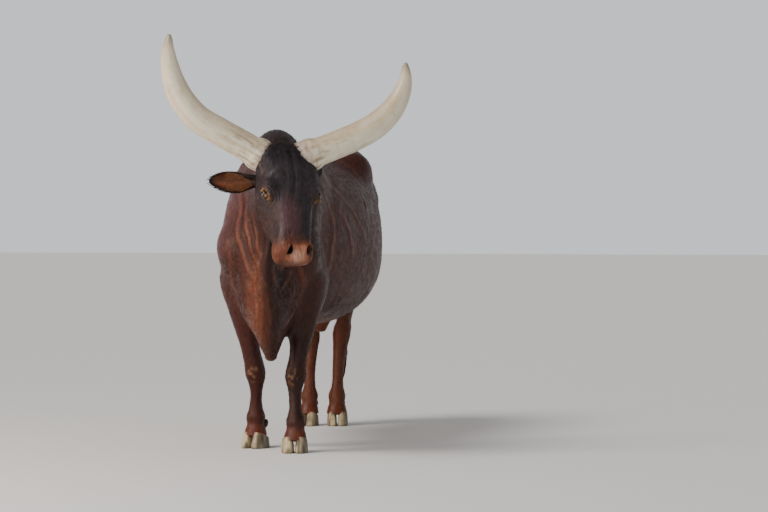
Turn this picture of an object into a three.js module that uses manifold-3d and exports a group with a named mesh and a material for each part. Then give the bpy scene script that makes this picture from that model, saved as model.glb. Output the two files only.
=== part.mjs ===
// An ankole watusi bull, life size, standing still with its head turned to its left.
// Millimetres, +Z up. The bull faces -Y and its left side is towards +X.
// While it is shaped, the origin is the ground midway between the fore feet; at the end the
// whole animal is set so that the origin is under the middle of its bounding box.

import * as THREE from "three";
import { mergeVertices } from "three/addons/utils/BufferGeometryUtils.js";
import Module from "manifold-3d";

const wasm = await Module();
wasm.setup();

const SEAM = 0.3;
const SIDES = { left: 1, right: -1 };

// Stance: where each foot stands, as left-right and front-back distances.
const FORE_FOOT = { left: [119, -103], right: [-106, 103] };
const HIND_FOOT = { left: [72, 1365], right: [-78, 1335] };
const HOCK_OUT = { left: 14, right: -4 };
const TOE_OUT = { fore: { left: 6, right: 20 }, hind: { left: 8, right: 10 } };

// The head's place and how it is held.
const POLL = new THREE.Vector3(149, -425, 1440);
const CROWN = new THREE.Vector3(137, -425, 1440);
const HEAD_SLOPE = 29;
const FACE_HELD = { turn: 30, roll: -3.5 };
const HORNS_HELD = { turn: 22, roll: 2 };

// Colours, as the animal shows them.
const COAT = 0x5a2a1c;
const FACE = 0x2a2022;
const HORN = 0xe6dcc2;
const HOOF = 0xa79470;
const SWITCH_HAIR = 0x1d1412;
const EYEBALL = 0x140d0a;

// Axes: a place with three directions of its own.
class Axes {
  constructor(origin, across, level, along) {
    this.origin = origin;
    this.matrix = new THREE.Matrix4().makeBasis(across, level, along).setPosition(origin);
    this.inverse = this.matrix.clone().invert();
  }
  point(across, level, along) {
    return new THREE.Vector3(across, level, along).applyMatrix4(this.matrix);
  }
}

const X = new THREE.Vector3(1, 0, 0);
const Y = new THREE.Vector3(0, 1, 0);
const Z = new THREE.Vector3(0, 0, 1);
const ORIGIN = new THREE.Vector3();
const backward = new Axes(ORIGIN, X, Z, Y);
const upward = new Axes(ORIGIN, X, Y.clone().negate(), Z);

function headAxes(held) {
  const turn = THREE.MathUtils.degToRad(held.turn);
  const slope = THREE.MathUtils.degToRad(HEAD_SLOPE);
  const roll = THREE.MathUtils.degToRad(held.roll);
  const ahead = new THREE.Vector3(Math.sin(turn), -Math.cos(turn), 0);
  const left = new THREE.Vector3(Math.cos(turn), Math.sin(turn), 0).applyAxisAngle(ahead, roll);
  const up = Z.clone().applyAxisAngle(ahead, roll);
  const downFace = ahead.clone().multiplyScalar(Math.sin(slope)).addScaledVector(up, -Math.cos(slope));
  const outOfFace = ahead.clone().multiplyScalar(Math.cos(slope)).addScaledVector(up, Math.sin(slope));
  return {
    face: new Axes(POLL, left, outOfFace, downFace),
    crown: new Axes(CROWN, left, ahead, up),
  };
}
const { face } = headAxes(FACE_HELD);
const { crown } = headAxes(HORNS_HELD);

// Forms are functions of a point that are negative inside, in about millimetres.
const blend = (a, b, soft) => {
  const near = Math.max(soft - Math.abs(a - b), 0) / soft;
  return Math.min(a, b) - (near * near * soft) / 4;
};

// A smooth curve through rows of numbers; each row starts with its place along the curve.
function through(rows) {
  const slopes = rows.map((row, i) => {
    const before = rows[Math.max(i - 1, 0)];
    const after = rows[Math.min(i + 1, rows.length - 1)];
    return row.map((_, k) => (after[k] - before[k]) / (after[0] - before[0]));
  });
  return (place) => {
    let i = 0;
    while (i < rows.length - 2 && place > rows[i + 1][0]) i++;
    const span = rows[i + 1][0] - rows[i][0];
    const t = THREE.MathUtils.clamp((place - rows[i][0]) / span, 0, 1);
    const ease = t * t * (3 - 2 * t);
    const leave = t * (1 - t) * (1 - t) * span;
    const arrive = t * t * (t - 1) * span;
    return rows[i].map(
      (value, k) =>
        value + (rows[i + 1][k] - value) * ease + slopes[i][k] * leave + slopes[i + 1][k] * arrive,
    );
  };
}

const local = new THREE.Vector3();

// A body whose oval section changes along an axis. Rows: place along, centre across, centre level,
// half width, reach above, reach below. Caps are how far its round ends stand out.
function loft(axes, rows, caps, squareness = 2) {
  const section = through(rows);
  const start = rows[0][0];
  const end = rows[rows.length - 1][0];
  return (point) => {
    local.copy(point).applyMatrix4(axes.inverse);
    const { x: across, y: level, z: along } = local;
    const [, middle, centre, half, above, below] = section(along);
    const reach = level > centre ? above : below;
    const sideways = Math.abs((across - middle) / half) ** squareness;
    const upwards = Math.abs((level - centre) / reach) ** squareness;
    let size = (sideways + upwards) ** (1 / squareness);
    const past = along < start ? (start - along) / caps[0] : Math.max(along - end, 0) / caps[1];
    if (past > 0) size = Math.hypot(size, past);
    return (size - 1) * Math.min(half, reach);
  };
}

// An ellipsoid in any axes.
function ball(axes, [across, level, along], [a, b, c]) {
  return (point) => {
    local.copy(point).applyMatrix4(axes.inverse);
    const x = (local.x - across) / a;
    const y = (local.y - level) / b;
    const z = (local.z - along) / c;
    const size = Math.hypot(x, y, z);
    return (size * (size - 1)) / Math.max(Math.hypot(x / a, y / b, z / c), 1e-9);
  };
}

// A rounded bar between two points, whose radius changes from one end to the other.
function bar(from, to, startRadius, endRadius) {
  const run = to.clone().sub(from);
  const length2 = run.lengthSq();
  return (point) => {
    local.copy(point).sub(from);
    const t = THREE.MathUtils.clamp(local.dot(run) / length2, 0, 1);
    return local.addScaledVector(run, -t).length() - THREE.MathUtils.lerp(startRadius, endRadius, t);
  };
}

const flipped = new THREE.Vector3();
const bothSides = (form) => (point) => form(flipped.set(Math.abs(point.x), point.y, point.z));

// Torso: rows run from the breast to the tail head.
const barrel = loft(
  backward,
  [
    [-200, 0, 920, 130, 190, 230],
    [-80, 0, 940, 180, 320, 325],
    [60, 0, 955, 215, 420, 355],
    [260, 0, 955, 285, 430, 372],
    [500, 0, 945, 350, 420, 382],
    [740, 0, 930, 384, 430, 375],
    [940, 0, 950, 372, 430, 360],
    [1100, 0, 1010, 326, 404, 320],
    [1250, 0, 1070, 262, 350, 290],
    [1400, 0, 1100, 190, 275, 240],
  ],
  [80, 90],
  2.4,
);
const hump = ball(backward, [0, 1378, 75], [82, 108, 155]);
const withers = ball(backward, [0, 1260, 200], [85, 145, 260]);
const scapula = bothSides(bar(new THREE.Vector3(100, 150, 1250), new THREE.Vector3(132, -130, 980), 84, 90));
const upperArm = bothSides(bar(new THREE.Vector3(136, -110, 920), new THREE.Vector3(150, 40, 770), 88, 88));
const brisket = ball(backward, [8, 680, -130], [105, 150, 170]);
const hipBone = bothSides(bar(new THREE.Vector3(214, 1010, 1318), new THREE.Vector3(122, 1250, 1342), 74, 84));
const thigh = bothSides(bar(new THREE.Vector3(150, 1250, 1150), new THREE.Vector3(165, 1180, 900), 150, 118));
const buttock = bothSides(bar(new THREE.Vector3(92, 1420, 1180), new THREE.Vector3(118, 1350, 900), 88, 95));
const stifle = bothSides(ball(backward, [178, 850, 1105], [75, 115, 100]));
const flankFold = bothSides(bar(new THREE.Vector3(215, 1010, 900), new THREE.Vector3(190, 1100, 780), 60, 55));
const purse = loft(
  upward,
  [
    [505, 4, -1225, 34, 30, 30],
    [560, 4, -1225, 60, 52, 52],
    [640, 2, -1222, 52, 46, 46],
    [760, 0, -1215, 34, 40, 40],
  ],
  [14, 20],
);
const sheath = loft(
  backward,
  [
    [690, 0, 528, 24, 40, 22],
    [770, 0, 540, 34, 60, 32],
    [900, 0, 560, 40, 60, 38],
    [1050, 0, 620, 36, 60, 36],
  ],
  [26, 30],
);

// Neck: it bends to the bull's left on its way to the head.
const neck = loft(
  backward,
  [
    [-430, 104, 1240, 84, 148, 160],
    [-340, 80, 1200, 100, 190, 205],
    [-220, 46, 1160, 115, 228, 270],
    [-80, 12, 1120, 130, 268, 330],
    [80, 0, 1100, 130, 290, 300],
  ],
  [70, 60],
  2.1,
);

// Dewlap: a hanging fold from the throat to between the fore legs, sliced level by level.
const dewlap = loft(
  upward,
  [
    [455, 28, 205, 30, 45, 60],
    [520, 26, 225, 54, 85, 110],
    [620, 24, 255, 70, 95, 150],
    [740, 30, 280, 56, 105, 170],
    [860, 46, 310, 44, 110, 170],
    [960, 66, 345, 34, 105, 150],
    [1050, 88, 385, 36, 82, 120],
  ],
  [28, 60],
);

// Head: rows run down the face, from above the poll to the lips.
const skull = loft(
  face,
  [
    [40, 8, -88, 80, 60, 70],
    [74, 13, -90, 110, 78, 100],
    [130, 19, -90, 138, 88, 135],
    [205, 13, -90, 135, 88, 162],
    [275, 9, -92, 106, 84, 160],
    [345, 6, -92, 97, 76, 134],
    [410, 2, -90, 91, 68, 104],
    [465, -6, -88, 89, 64, 84],
    [505, -12, -90, 92, 57, 74],
    [540, -14, -99, 89, 50, 60],
    [562, -14, -107, 80, 41, 48],
  ],
  [20, 16],
  2.35,
);
const faceForm = (form) => (point) => {
  local.copy(point).applyMatrix4(face.inverse);
  local.x = Math.abs(local.x);
  return form(flipped.copy(local).applyMatrix4(face.matrix));
};
const brow = faceForm(ball(face, [104, -48, 240], [30, 34, 48]));
const cheek = faceForm(ball(face, [50, -165, 285], [32, 84, 90]));
const jaw = faceForm(bar(face.point(52, -235, 235), face.point(26, -140, 500), 32, 26));
const lip = faceForm(ball(face, [46, -104, 528], [40, 38, 40]));
const nostrilWing = faceForm(ball(face, [48, -52, 520], [28, 22, 30]));
const chin = ball(face, [-10, -150, 524], [44, 20, 42]);
const throat = bar(face.point(0, -200, 240), face.point(0, -175, 430), 52, 26);
const hornBoss = faceForm(bar(face.point(30, -74, 66), face.point(76, -74, 62), 68, 66));
const nape = ball(face, [0, -134, 54], [86, 95, 90]);

// Legs: joints first, then the sections that each leg has at its heights.
// Rows: height, half width, reach forward, reach back; the centre follows the joints.
const FORE_SECTIONS = [
  [62, 56, 52, 52],
  [84, 52, 46, 50],
  [112, 43, 37, 44],
  [146, 46, 40, 50],
  [190, 33, 33, 40],
  [250, 30, 32, 36],
  [296, 36, 37, 38],
  [345, 50, 50, 44],
  [392, 49, 46, 44],
  [440, 45, 46, 46],
  [510, 51, 55, 56],
  [600, 64, 74, 76],
  [700, 74, 88, 92],
  [800, 78, 90, 96],
];
const HIND_SECTIONS = [
  [66, 55, 52, 50],
  [88, 50, 46, 48],
  [116, 42, 37, 44],
  [152, 46, 40, 50],
  [200, 34, 34, 38],
  [290, 33, 33, 36],
  [390, 38, 40, 42],
  [450, 46, 52, 54],
  [500, 46, 54, 60],
  [545, 38, 52, 58],
  [620, 46, 74, 62],
  [700, 68, 108, 84],
  [800, 92, 130, 110],
  [900, 104, 130, 120],
];

function legForm(joints, sections) {
  const centre = through(joints);
  const rows = sections.map(([height, half, ahead, behind]) => {
    const [, x, forward] = centre(height);
    return [height, x, forward, half, ahead, behind];
  });
  return loft(upward, rows, [10, 60], 2.1);
}

const foreJoints = {};
const hindJoints = {};
const legForms = [];
for (const [side, sign] of Object.entries(SIDES)) {
  const [footX, footY] = FORE_FOOT[side];
  foreJoints[side] = [
    [0, footX, -footY + 12],
    [120, footX + sign * 2, -footY - 10],
    [350, footX - sign * 4, -footY * 0.72 - 14],
    [480, footX * 0.55 + sign * 66, -footY * 0.5 - 14],
    [640, sign * 152, -footY * 0.25 - 22],
    [800, sign * 170, -20],
  ];
  const [heelX, heelY] = HIND_FOOT[side];
  hindJoints[side] = [
    [0, heelX, -heelY + 8],
    [120, heelX - sign * 6, -heelY - 16],
    [300, heelX - sign * 2, -heelY - 40],
    [490, heelX + sign * HOCK_OUT[side], -heelY - 62],
    [600, heelX * 0.5 + sign * 80, -heelY + 8],
    [760, sign * 150, -1235],
    [900, sign * 165, -1200],
  ];
  legForms.push(legForm(foreJoints[side], FORE_SECTIONS), legForm(hindJoints[side], HIND_SECTIONS));
}

// The whole of the flesh: each form and how softly it joins what comes before it.
const FLESH = [
  [barrel, 1],
  [withers, 120],
  [neck, 110],
  [hump, 70],
  [brisket, 120],
  [scapula, 100],
  [upperArm, 90],
  [hipBone, 120],
  [thigh, 90],
  [buttock, 70],
  [stifle, 80],
  [flankFold, 90],
  [sheath, 40],
  [purse, 40],
  [dewlap, 55],
  [skull, 60],
  [nape, 60],
  [brow, 36],
  [cheek, 50],
  [jaw, 40],
  [throat, 40],
  [lip, 26],
  [nostrilWing, 18],
  [chin, 24],
  [hornBoss, 40],
  ...legForms.map((form) => [form, 50]),
];
const joined = (forms) => (point) =>
  forms.reduce((value, [form, soft]) => blend(value, form(point), soft), 1e4);
const flesh = joined(FLESH);
const limbs = joined(FLESH.filter(([form]) => form !== dewlap && form !== brisket));

// Surface finding.
const STEP = 1;
function slope(form, point, out) {
  const probe = point.clone();
  for (const axis of ["x", "y", "z"]) {
    probe[axis] = point[axis] + STEP;
    const ahead = form(probe);
    probe[axis] = point[axis] - STEP;
    out[axis] = (ahead - form(probe)) / (2 * STEP);
    probe[axis] = point[axis];
  }
  return out;
}

function settle(form, point, limit) {
  const start = point.clone();
  const steep = new THREE.Vector3();
  for (let i = 0; i < 4; i++) {
    slope(form, point, steep);
    const size = Math.max(steep.lengthSq(), 0.05);
    point.addScaledVector(steep, -form(point) / size);
  }
  point.sub(start).clampLength(0, limit).add(start);
  return point;
}

const steps = (from, to, cell) => {
  const count = Math.ceil((to - from) / cell);
  return Array.from({ length: count + 1 }, (_, i) => from + i * cell);
};

// The surface of a form inside a box of cells, as one closed mesh: a point in each cell that the
// surface crosses, and a face across each edge of the grid that it crosses.
function skin(form, axes, low, high, cell) {
  const lines = [0, 1, 2].map((k) => steps(low[k], high[k], cell[k]));
  const [nx, ny, nz] = lines.map((line) => line.length);
  const at = (i, j, k) => (k * ny + j) * nx + i;
  const values = new Float64Array(nx * ny * nz);
  for (let k = 0; k < nz; k++)
    for (let j = 0; j < ny; j++)
      for (let i = 0; i < nx; i++) {
        const rim = i === 0 || j === 0 || k === 0 || i === nx - 1 || j === ny - 1 || k === nz - 1;
        const value = form(axes.point(lines[0][i], lines[1][j], lines[2][k]));
        values[at(i, j, k)] = rim ? Math.max(value, 1) : value;
      }

  const corners = [0, 1, 2, 3, 4, 5, 6, 7].map((c) => [c & 1, (c >> 1) & 1, (c >> 2) & 1]);
  const edges = [];
  for (let a = 0; a < 8; a++) for (const bit of [1, 2, 4]) if (!(a & bit)) edges.push([a, a | bit]);

  const points = [];
  const pointOf = new Int32Array(nx * ny * nz).fill(-1);
  const limit = 0.6 * Math.min(...cell);
  for (let k = 0; k < nz - 1; k++)
    for (let j = 0; j < ny - 1; j++)
      for (let i = 0; i < nx - 1; i++) {
        const here = corners.map(([a, b, c]) => values[at(i + a, j + b, k + c)]);
        const sum = new THREE.Vector3();
        let crossings = 0;
        for (const [a, b] of edges) {
          if (here[a] < 0 === here[b] < 0) continue;
          const t = here[a] / (here[a] - here[b]);
          const mix = [0, 1, 2].map((m) => {
            const start = corners[a][m];
            const place = start + (corners[b][m] - start) * t;
            const index = [i, j, k][m];
            return lines[m][index] + (lines[m][index + 1] - lines[m][index]) * place;
          });
          sum.add(new THREE.Vector3(...mix));
          crossings++;
        }
        if (!crossings) continue;
        sum.divideScalar(crossings).applyMatrix4(axes.matrix);
        pointOf[at(i, j, k)] = points.push(settle(form, sum, limit)) - 1;
      }

  const faces = [];
  const quad = (a, b, c, d, turned) => {
    const [p, q, r, s] = turned ? [a, d, c, b] : [a, b, c, d];
    if (points[p].distanceToSquared(points[r]) < points[q].distanceToSquared(points[s])) {
      faces.push(p, q, r, p, r, s);
    } else {
      faces.push(p, q, s, q, r, s);
    }
  };
  for (let k = 0; k < nz - 1; k++)
    for (let j = 0; j < ny - 1; j++)
      for (let i = 0; i < nx - 1; i++) {
        const inside = values[at(i, j, k)] < 0;
        if (j && k && inside !== values[at(i + 1, j, k)] < 0)
          quad(
            pointOf[at(i, j - 1, k - 1)], pointOf[at(i, j, k - 1)],
            pointOf[at(i, j, k)], pointOf[at(i, j - 1, k)], !inside,
          );
        if (i && k && inside !== values[at(i, j + 1, k)] < 0)
          quad(
            pointOf[at(i - 1, j, k - 1)], pointOf[at(i - 1, j, k)],
            pointOf[at(i, j, k)], pointOf[at(i, j, k - 1)], !inside,
          );
        if (i && j && inside !== values[at(i, j, k + 1)] < 0)
          quad(
            pointOf[at(i - 1, j - 1, k)], pointOf[at(i, j - 1, k)],
            pointOf[at(i, j, k)], pointOf[at(i - 1, j, k)], !inside,
          );
      }
  return solid(points, faces);
}

// Points and faces as a solid; its faces are turned out if they point in.
function solid(points, faces) {
  const geometry = new THREE.BufferGeometry().setFromPoints(points);
  geometry.setIndex(faces);
  return solidOf(geometry);
}

function solidOf(geometry) {
  const bare = new THREE.BufferGeometry();
  bare.setAttribute("position", geometry.getAttribute("position"));
  bare.setIndex(geometry.getIndex());
  const merged = mergeVertices(bare, 1e-3);
  const triVerts = new Uint32Array(merged.index.array);
  const vertProperties = new Float32Array(merged.attributes.position.array);
  const made = new wasm.Manifold(new wasm.Mesh({ numProp: 3, vertProperties, triVerts }));
  if (made.volume() > 0) return made;
  for (let i = 0; i < triVerts.length; i += 3)
    [triVerts[i + 1], triVerts[i + 2]] = [triVerts[i + 2], triVerts[i + 1]];
  return new wasm.Manifold(new wasm.Mesh({ numProp: 3, vertProperties, triVerts }));
}


// A closed body through rings of equally many points; its flat ends are laced across.
function rings(loops, round = false) {
  const count = loops[0].length;
  const points = loops.flat();
  const faces = [];
  const last = round ? loops.length : loops.length - 1;
  for (let r = 0; r < last; r++)
    for (let i = 0; i < count; i++) {
      const next = (i + 1) % count;
      const [a, b] = [r * count + i, r * count + next];
      const above = ((r + 1) % loops.length) * count;
      faces.push(a, b, above + next, a, above + next, above + i);
    }
  if (!round)
    for (const [first, turned] of [[0, true], [(loops.length - 1) * count, false]])
      for (let i = 0; i < count / 2 - 1; i++) {
        const [a, b] = [first + i, first + i + 1];
        const [d, c] = [first + count - 1 - i, first + count - 2 - i];
        if (turned) faces.push(a, d, b, b, d, c);
        else faces.push(a, b, d, b, c, d);
      }
  return solid(points, faces);
}

// A tapering body swept along a smooth curve. The section gives half sizes at each place from 0 to 1.
function sweep(points, count, section, sides, round = false) {
  const curve = new THREE.CatmullRomCurve3(points, round, "centripetal");
  const frames = curve.computeFrenetFrames(count, round);
  const places = round ? count : count + 1;
  const loops = Array.from({ length: places }, (_, i) => {
    const centre = curve.getPointAt(i / count);
    const [a, b] = section(i / count);
    return Array.from({ length: sides }, (_, j) => {
      const angle = (2 * Math.PI * j) / sides;
      return centre
        .clone()
        .addScaledVector(frames.normals[i], a * Math.cos(angle))
        .addScaledVector(frames.binormals[i], b * Math.sin(angle));
    });
  });
  return rings(loops, round);
}

// The same run of points, with its two ends moved apart.
function lengthened(points, more) {
  const last = points.length - 1;
  const ends = [points[0].clone().sub(points[1]), points[last].clone().sub(points[last - 1])];
  return points.map((point, i) => {
    if (i > 0 && i < last) return point;
    return point.clone().addScaledVector(ends[i ? 1 : 0].normalize(), more);
  });
}

const egg = ([a, b, c], axes, place, across = 14, down = 9) => {
  const geometry = new THREE.SphereGeometry(1, across, down).scale(a, b, c);
  return solidOf(geometry.translate(...place).applyMatrix4(axes.matrix));
};

// Only the largest piece of a cut body.
const largest = (body) => body.decompose().sort((a, b) => b.volume() - a.volume())[0];

// The parts of a body ahead of and behind a plane, with a thin gap between them.
function cut(body, point, normal) {
  const out = normal.clone().normalize();
  const offset = out.dot(point);
  return [
    body.trimByPlane(out.toArray(), offset + SEAM / 2),
    body.trimByPlane(out.clone().negate().toArray(), -offset + SEAM / 2),
  ];
}

const bull = new THREE.Group();
function node(name, body, colour, roughness = 0.6) {
  const mesh = largest(body).getMesh();
  const geometry = new THREE.BufferGeometry();
  geometry.setAttribute("position", new THREE.BufferAttribute(mesh.vertProperties, 3));
  geometry.setIndex(new THREE.BufferAttribute(mesh.triVerts, 1));
  geometry.computeVertexNormals();
  const material = new THREE.MeshStandardMaterial({ color: colour, roughness, metalness: 0 });
  const made = new THREE.Mesh(geometry, material);
  made.name = name;
  bull.add(made);
}

// Horns: rows of reach to the side and rise, from the base; thick, blunt and nearly smooth.
const HORN_ROOT = [88, -40, -80];
const HORN_RUN = {
  right: [[-42, -22], [0, 0], [100, 64], [200, 124], [300, 190], [362, 268], [396, 345], [414, 430], [418, 505], [410, 566]],
  left: [[-36, -14], [10, 0], [92, 27], [168, 54], [252, 86], [340, 130], [410, 188], [462, 258], [490, 330], [497, 414]],
};
const HORN_LEAN = -24;
const hornRadius = through([
  [0, 70], [0.07, 76], [0.12, 74], [0.16, 66], [0.3, 64], [0.5, 62], [0.66, 56], [0.8, 44], [0.9, 31], [0.97, 18], [1, 8],
]);
function horn(side, grow = 0) {
  const sign = SIDES[side];
  const [across, ahead, up] = HORN_ROOT;
  const run = HORN_RUN[side];
  const points = run.map(([reach, rise], i) => {
    const lean = HORN_LEAN * (i / (run.length - 1)) ** 2;
    return crown.point(sign * (across + reach), ahead + lean, up + rise);
  });
  const section = (t) => {
    const radius = hornRadius(t)[1] + grow;
    return [radius, radius];
  };
  return sweep(lengthened(points, grow), 16, section, 12);
}

// Eyes: a ball in each socket, and a ring of lids that narrows it to an almond.
const EYE = [118, -52, 262];
const EYE_RADIUS = 20;
const LID = { long: 24, high: 12, thick: 6, lift: 11 };
function eyeAxes(sign) {
  const place = face.point(sign * EYE[0], EYE[1], EYE[2]);
  const out = new THREE.Vector3();
  const outward = new THREE.Vector3(sign * 0.86, 0.5, -0.02).transformDirection(face.matrix);
  settleAlong(place, outward, -EYE_RADIUS + 6);
  const front = new THREE.Vector3(0, 0.35, 0.94).transformDirection(face.matrix);
  const down = out.crossVectors(outward, front).normalize().clone();
  front.crossVectors(down, outward).normalize();
  return new Axes(place, front, down, outward);
}

// Moves a point along a direction until it is at a height over the flesh.
function settleAlong(point, direction, height) {
  for (let i = 0; i < 60; i++) point.addScaledVector(direction, flesh(point) < 0 ? 4 : -4);
  for (let size = 2; size > 0.05; size /= 2)
    point.addScaledVector(direction, flesh(point) < 0 ? size : -size);
  return point.addScaledVector(direction, height);
}
const eyeball = (axes, grow) => egg(Array(3).fill(EYE_RADIUS + grow), axes, [0, 0, 0], 12, 8);
function lids(axes) {
  const points = Array.from({ length: 14 }, (_, i) => {
    const angle = (2 * Math.PI * i) / 14;
    const along = LID.long * Math.cos(angle);
    const high = LID.high * Math.sin(angle) * (1 - 0.25 * Math.cos(angle) ** 2);
    const drop = (along * along + high * high) / (2 * EYE_RADIUS + 22);
    return axes.point(along, high, LID.lift - drop + 6);
  });
  return sweep(points, 18, () => [LID.thick, LID.thick], 6, true);
}

// Nostrils: comma-shaped holes, their tops leaning outward. The mouth is a groove round the muzzle.
const NOSTRIL = { middle: 9, place: [46, -53, 534], size: [11, 20, 30], tilt: 34 };
const MOUTH = { level: -130, corner: [96, 440], front: [60, 574], width: 5, high: 3 };
function nostril(sign) {
  const tilt = THREE.MathUtils.degToRad(NOSTRIL.tilt) * sign;
  const [across, level, along] = NOSTRIL.place;
  const place = face.point(NOSTRIL.middle + sign * across, level, along);
  const aside = new THREE.Vector3(Math.cos(tilt), Math.sin(tilt), 0).transformDirection(face.matrix);
  const above = new THREE.Vector3(-Math.sin(tilt), Math.cos(tilt), 0).transformDirection(face.matrix);
  const ahead = new THREE.Vector3(0, 0, 1).transformDirection(face.matrix);
  return egg(NOSTRIL.size, new Axes(place, aside, above, ahead), [0, 0, 0], 9, 6);
}
function mouthLine() {
  const { level, corner, front, width, high } = MOUTH;
  const way = [
    [corner[0], corner[1]],
    [corner[0] - 2, 480],
    [front[0] + 22, 540],
    [front[0], front[1]],
    [0, front[1] + 14],
  ];
  const right = way.slice(0, -1).map(([across, along]) => [-across, along]).reverse();
  const points = [...way, ...right].map(([across, along]) => face.point(across, level, along));
  for (const point of points) settle(flesh, point, 60);
  return sweep(points, 14, () => [width, high], 6);
}

// Ears: leaf-shaped cups on a short tube.
const EAR_LENGTH = 236;
const EAR_ROOT = [106, -62, -179];
const EAR_POINTING = { right: [-0.965, -0.23, -0.02], left: [0.5, -0.85, -0.02] };
const EAR_FACING = { right: [-0.16, 0.9, -0.3], left: [0.82, 0.5, -0.3] };
const earSection = through([
  [0, 22, 148, 8], [0.12, 23, 146, 8], [0.25, 32, 128, 7], [0.4, 43, 96, 6], [0.56, 48, 78, 5.5],
  [0.72, 43, 66, 5], [0.86, 30, 58, 4.5], [0.95, 17, 52, 4], [1, 6, 48, 3],
]);
function earAxes(side) {
  const along = new THREE.Vector3(...EAR_POINTING[side]).transformDirection(crown.matrix);
  const facing = new THREE.Vector3(...EAR_FACING[side]).transformDirection(crown.matrix);
  facing.addScaledVector(along, -facing.dot(along)).normalize();
  const across = new THREE.Vector3().crossVectors(facing, along);
  return new Axes(crown.point(SIDES[side] * EAR_ROOT[0], EAR_ROOT[1], EAR_ROOT[2]), across, facing, along);
}
function ear(side, grow = 0) {
  const axes = earAxes(side);
  const spread = 9;
  const loops = Array.from({ length: 13 }, (_, r) => {
    const t = r / 12;
    const [, half, degrees, thick] = earSection(t);
    const open = THREE.MathUtils.degToRad(degrees);
    const radius = half / Math.sin(Math.min(open, Math.PI / 2));
    const past = r === 0 ? -grow : r === 12 ? grow : 0;
    const loop = [];
    for (const [skinDepth, turned] of [[thick + grow, false], [-grow, true]])
      for (let i = 0; i < spread; i++) {
        const share = turned ? 1 - i / (spread - 1) : i / (spread - 1);
        const edge = 1 - 0.5 * Math.abs(2 * share - 1) ** 3;
        const angle = (2 * share - 1) * (open + (2 * grow) / radius);
        const r2 = radius + (turned ? skinDepth : skinDepth * edge);
        const bend = -26 * t * t;
        loop.push(axes.point(r2 * Math.sin(angle), bend + radius - r2 * Math.cos(angle) - half * 0.5, t * EAR_LENGTH + past));
      }
    return loop;
  });
  return rings(loops);
}

// The round hollow in the head that the root of an ear stands in.
function earSeat(side) {
  const axes = earAxes(side);
  const points = [-SEAM, 25, 50].map((along) => axes.point(0, 11 + 0.04 * along, along));
  return sweep(points, 2, (t) => [31.2 + 6.4 * t, 31.2 + 6.4 * t], 16);
}

// Claws: two to a foot, flat under, with a front wall that slopes to the toe.
const CLAW = { ahead: 66, behind: 50, inner: 3, outer: 62, front: 76, heel: 44 };
const CLAW_SIZE = { fore: 1, hind: 0.88 };
function footAxes([x, y], toeOut, sign) {
  const turn = THREE.MathUtils.degToRad(toeOut) * sign;
  const across = new THREE.Vector3(Math.cos(turn), Math.sin(turn), 0);
  const ahead = new THREE.Vector3(Math.sin(turn), -Math.cos(turn), 0);
  return new Axes(new THREE.Vector3(x, y, 0), across, ahead, Z);
}
// Height of the hairline over the sole, at a place ahead of the foot's middle.
const hairline = (ahead) => THREE.MathUtils.mapLinear(ahead, 34, -46, CLAW.front, CLAW.heel);
const CLAW_RINGS = [
  { rise: 0, forward: 0.97, aside: 0.96 },
  { rise: 0.1, forward: 1, aside: 1 },
  { rise: 0.55, forward: 0.8, aside: 0.96 },
  { rise: 1, forward: 0.6, aside: 0.88 },
];
function claw(axes, outer, size) {
  const middle = (CLAW.inner + CLAW.outer) / 2;
  const half = (CLAW.outer - CLAW.inner) / 2;
  const loops = CLAW_RINGS.map(({ rise, forward, aside }) =>
    Array.from({ length: 16 }, (_, i) => {
      const angle = (2 * Math.PI * i) / 16;
      const toward = Math.sign(Math.cos(angle)) * Math.abs(Math.cos(angle)) ** 0.85;
      const ahead = toward > 0 ? toward * CLAW.ahead * forward : toward * CLAW.behind * (1 - 0.1 * rise);
      const round = Math.sign(Math.sin(angle)) * Math.abs(Math.sin(angle)) ** 0.75;
      const hook = -8 * Math.max(toward, 0) ** 2;
      const wide = middle + hook + round * half * aside * (1 - 0.12 * Math.max(toward, 0));
      const top = hairline(size * ahead) - SEAM;
      return axes.point(outer * size * Math.max(wide, CLAW.inner), size * ahead, rise * top);
    }),
  );
  return rings(loops);
}

// Dewclaws: two small blunt cones behind each fetlock.
const DEWCLAW = { aside: 26, behind: 46, height: 112, size: [13, 14, 23] };
function dewclaw(axes, outer, grow = 0) {
  const size = DEWCLAW.size.map((value) => value + grow);
  const geometry = new THREE.SphereGeometry(1, 8, 6).scale(...size).rotateX(0.5);
  geometry.translate(outer * DEWCLAW.aside, -DEWCLAW.behind, DEWCLAW.height);
  return solidOf(geometry.applyMatrix4(axes.matrix));
}

// Rings wrapped round the flesh at chosen heights, by looking in from outside towards a centre line.
function wrap(levels, count, reachOf) {
  const loops = levels.map(({ centre, across, ahead }) =>
    Array.from({ length: count }, (_, i) => {
      const angle = (2 * Math.PI * i) / count;
      const outward = across.clone().multiplyScalar(Math.cos(angle)).addScaledVector(ahead, Math.sin(angle));
      let low = 0;
      let high = reachOf;
      for (let k = 0; k < 18; k++) {
        const middle = (low + high) / 2;
        if (limbs(centre.clone().addScaledVector(outward, middle)) < 0) low = middle;
        else high = middle;
      }
      return centre.clone().addScaledVector(outward, low);
    }),
  );
  return rings(loops);
}

// A region of space on the inner side of some planes; each plane is a point and an inward direction.
function region(planes, grow) {
  const all = new THREE.BoxGeometry(6000, 6000, 6000);
  return planes.reduce((block, [point, inward]) => {
    const normal = inward.clone().normalize();
    return block.trimByPlane(normal.toArray(), normal.dot(point) - grow);
  }, solidOf(all));
}

// The piece of a body inside a region, and the rest of it, with a thin gap between them.
const part = (body, planes) => [body.intersect(region(planes, 0)), body.subtract(region(planes, SEAM))];

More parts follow.
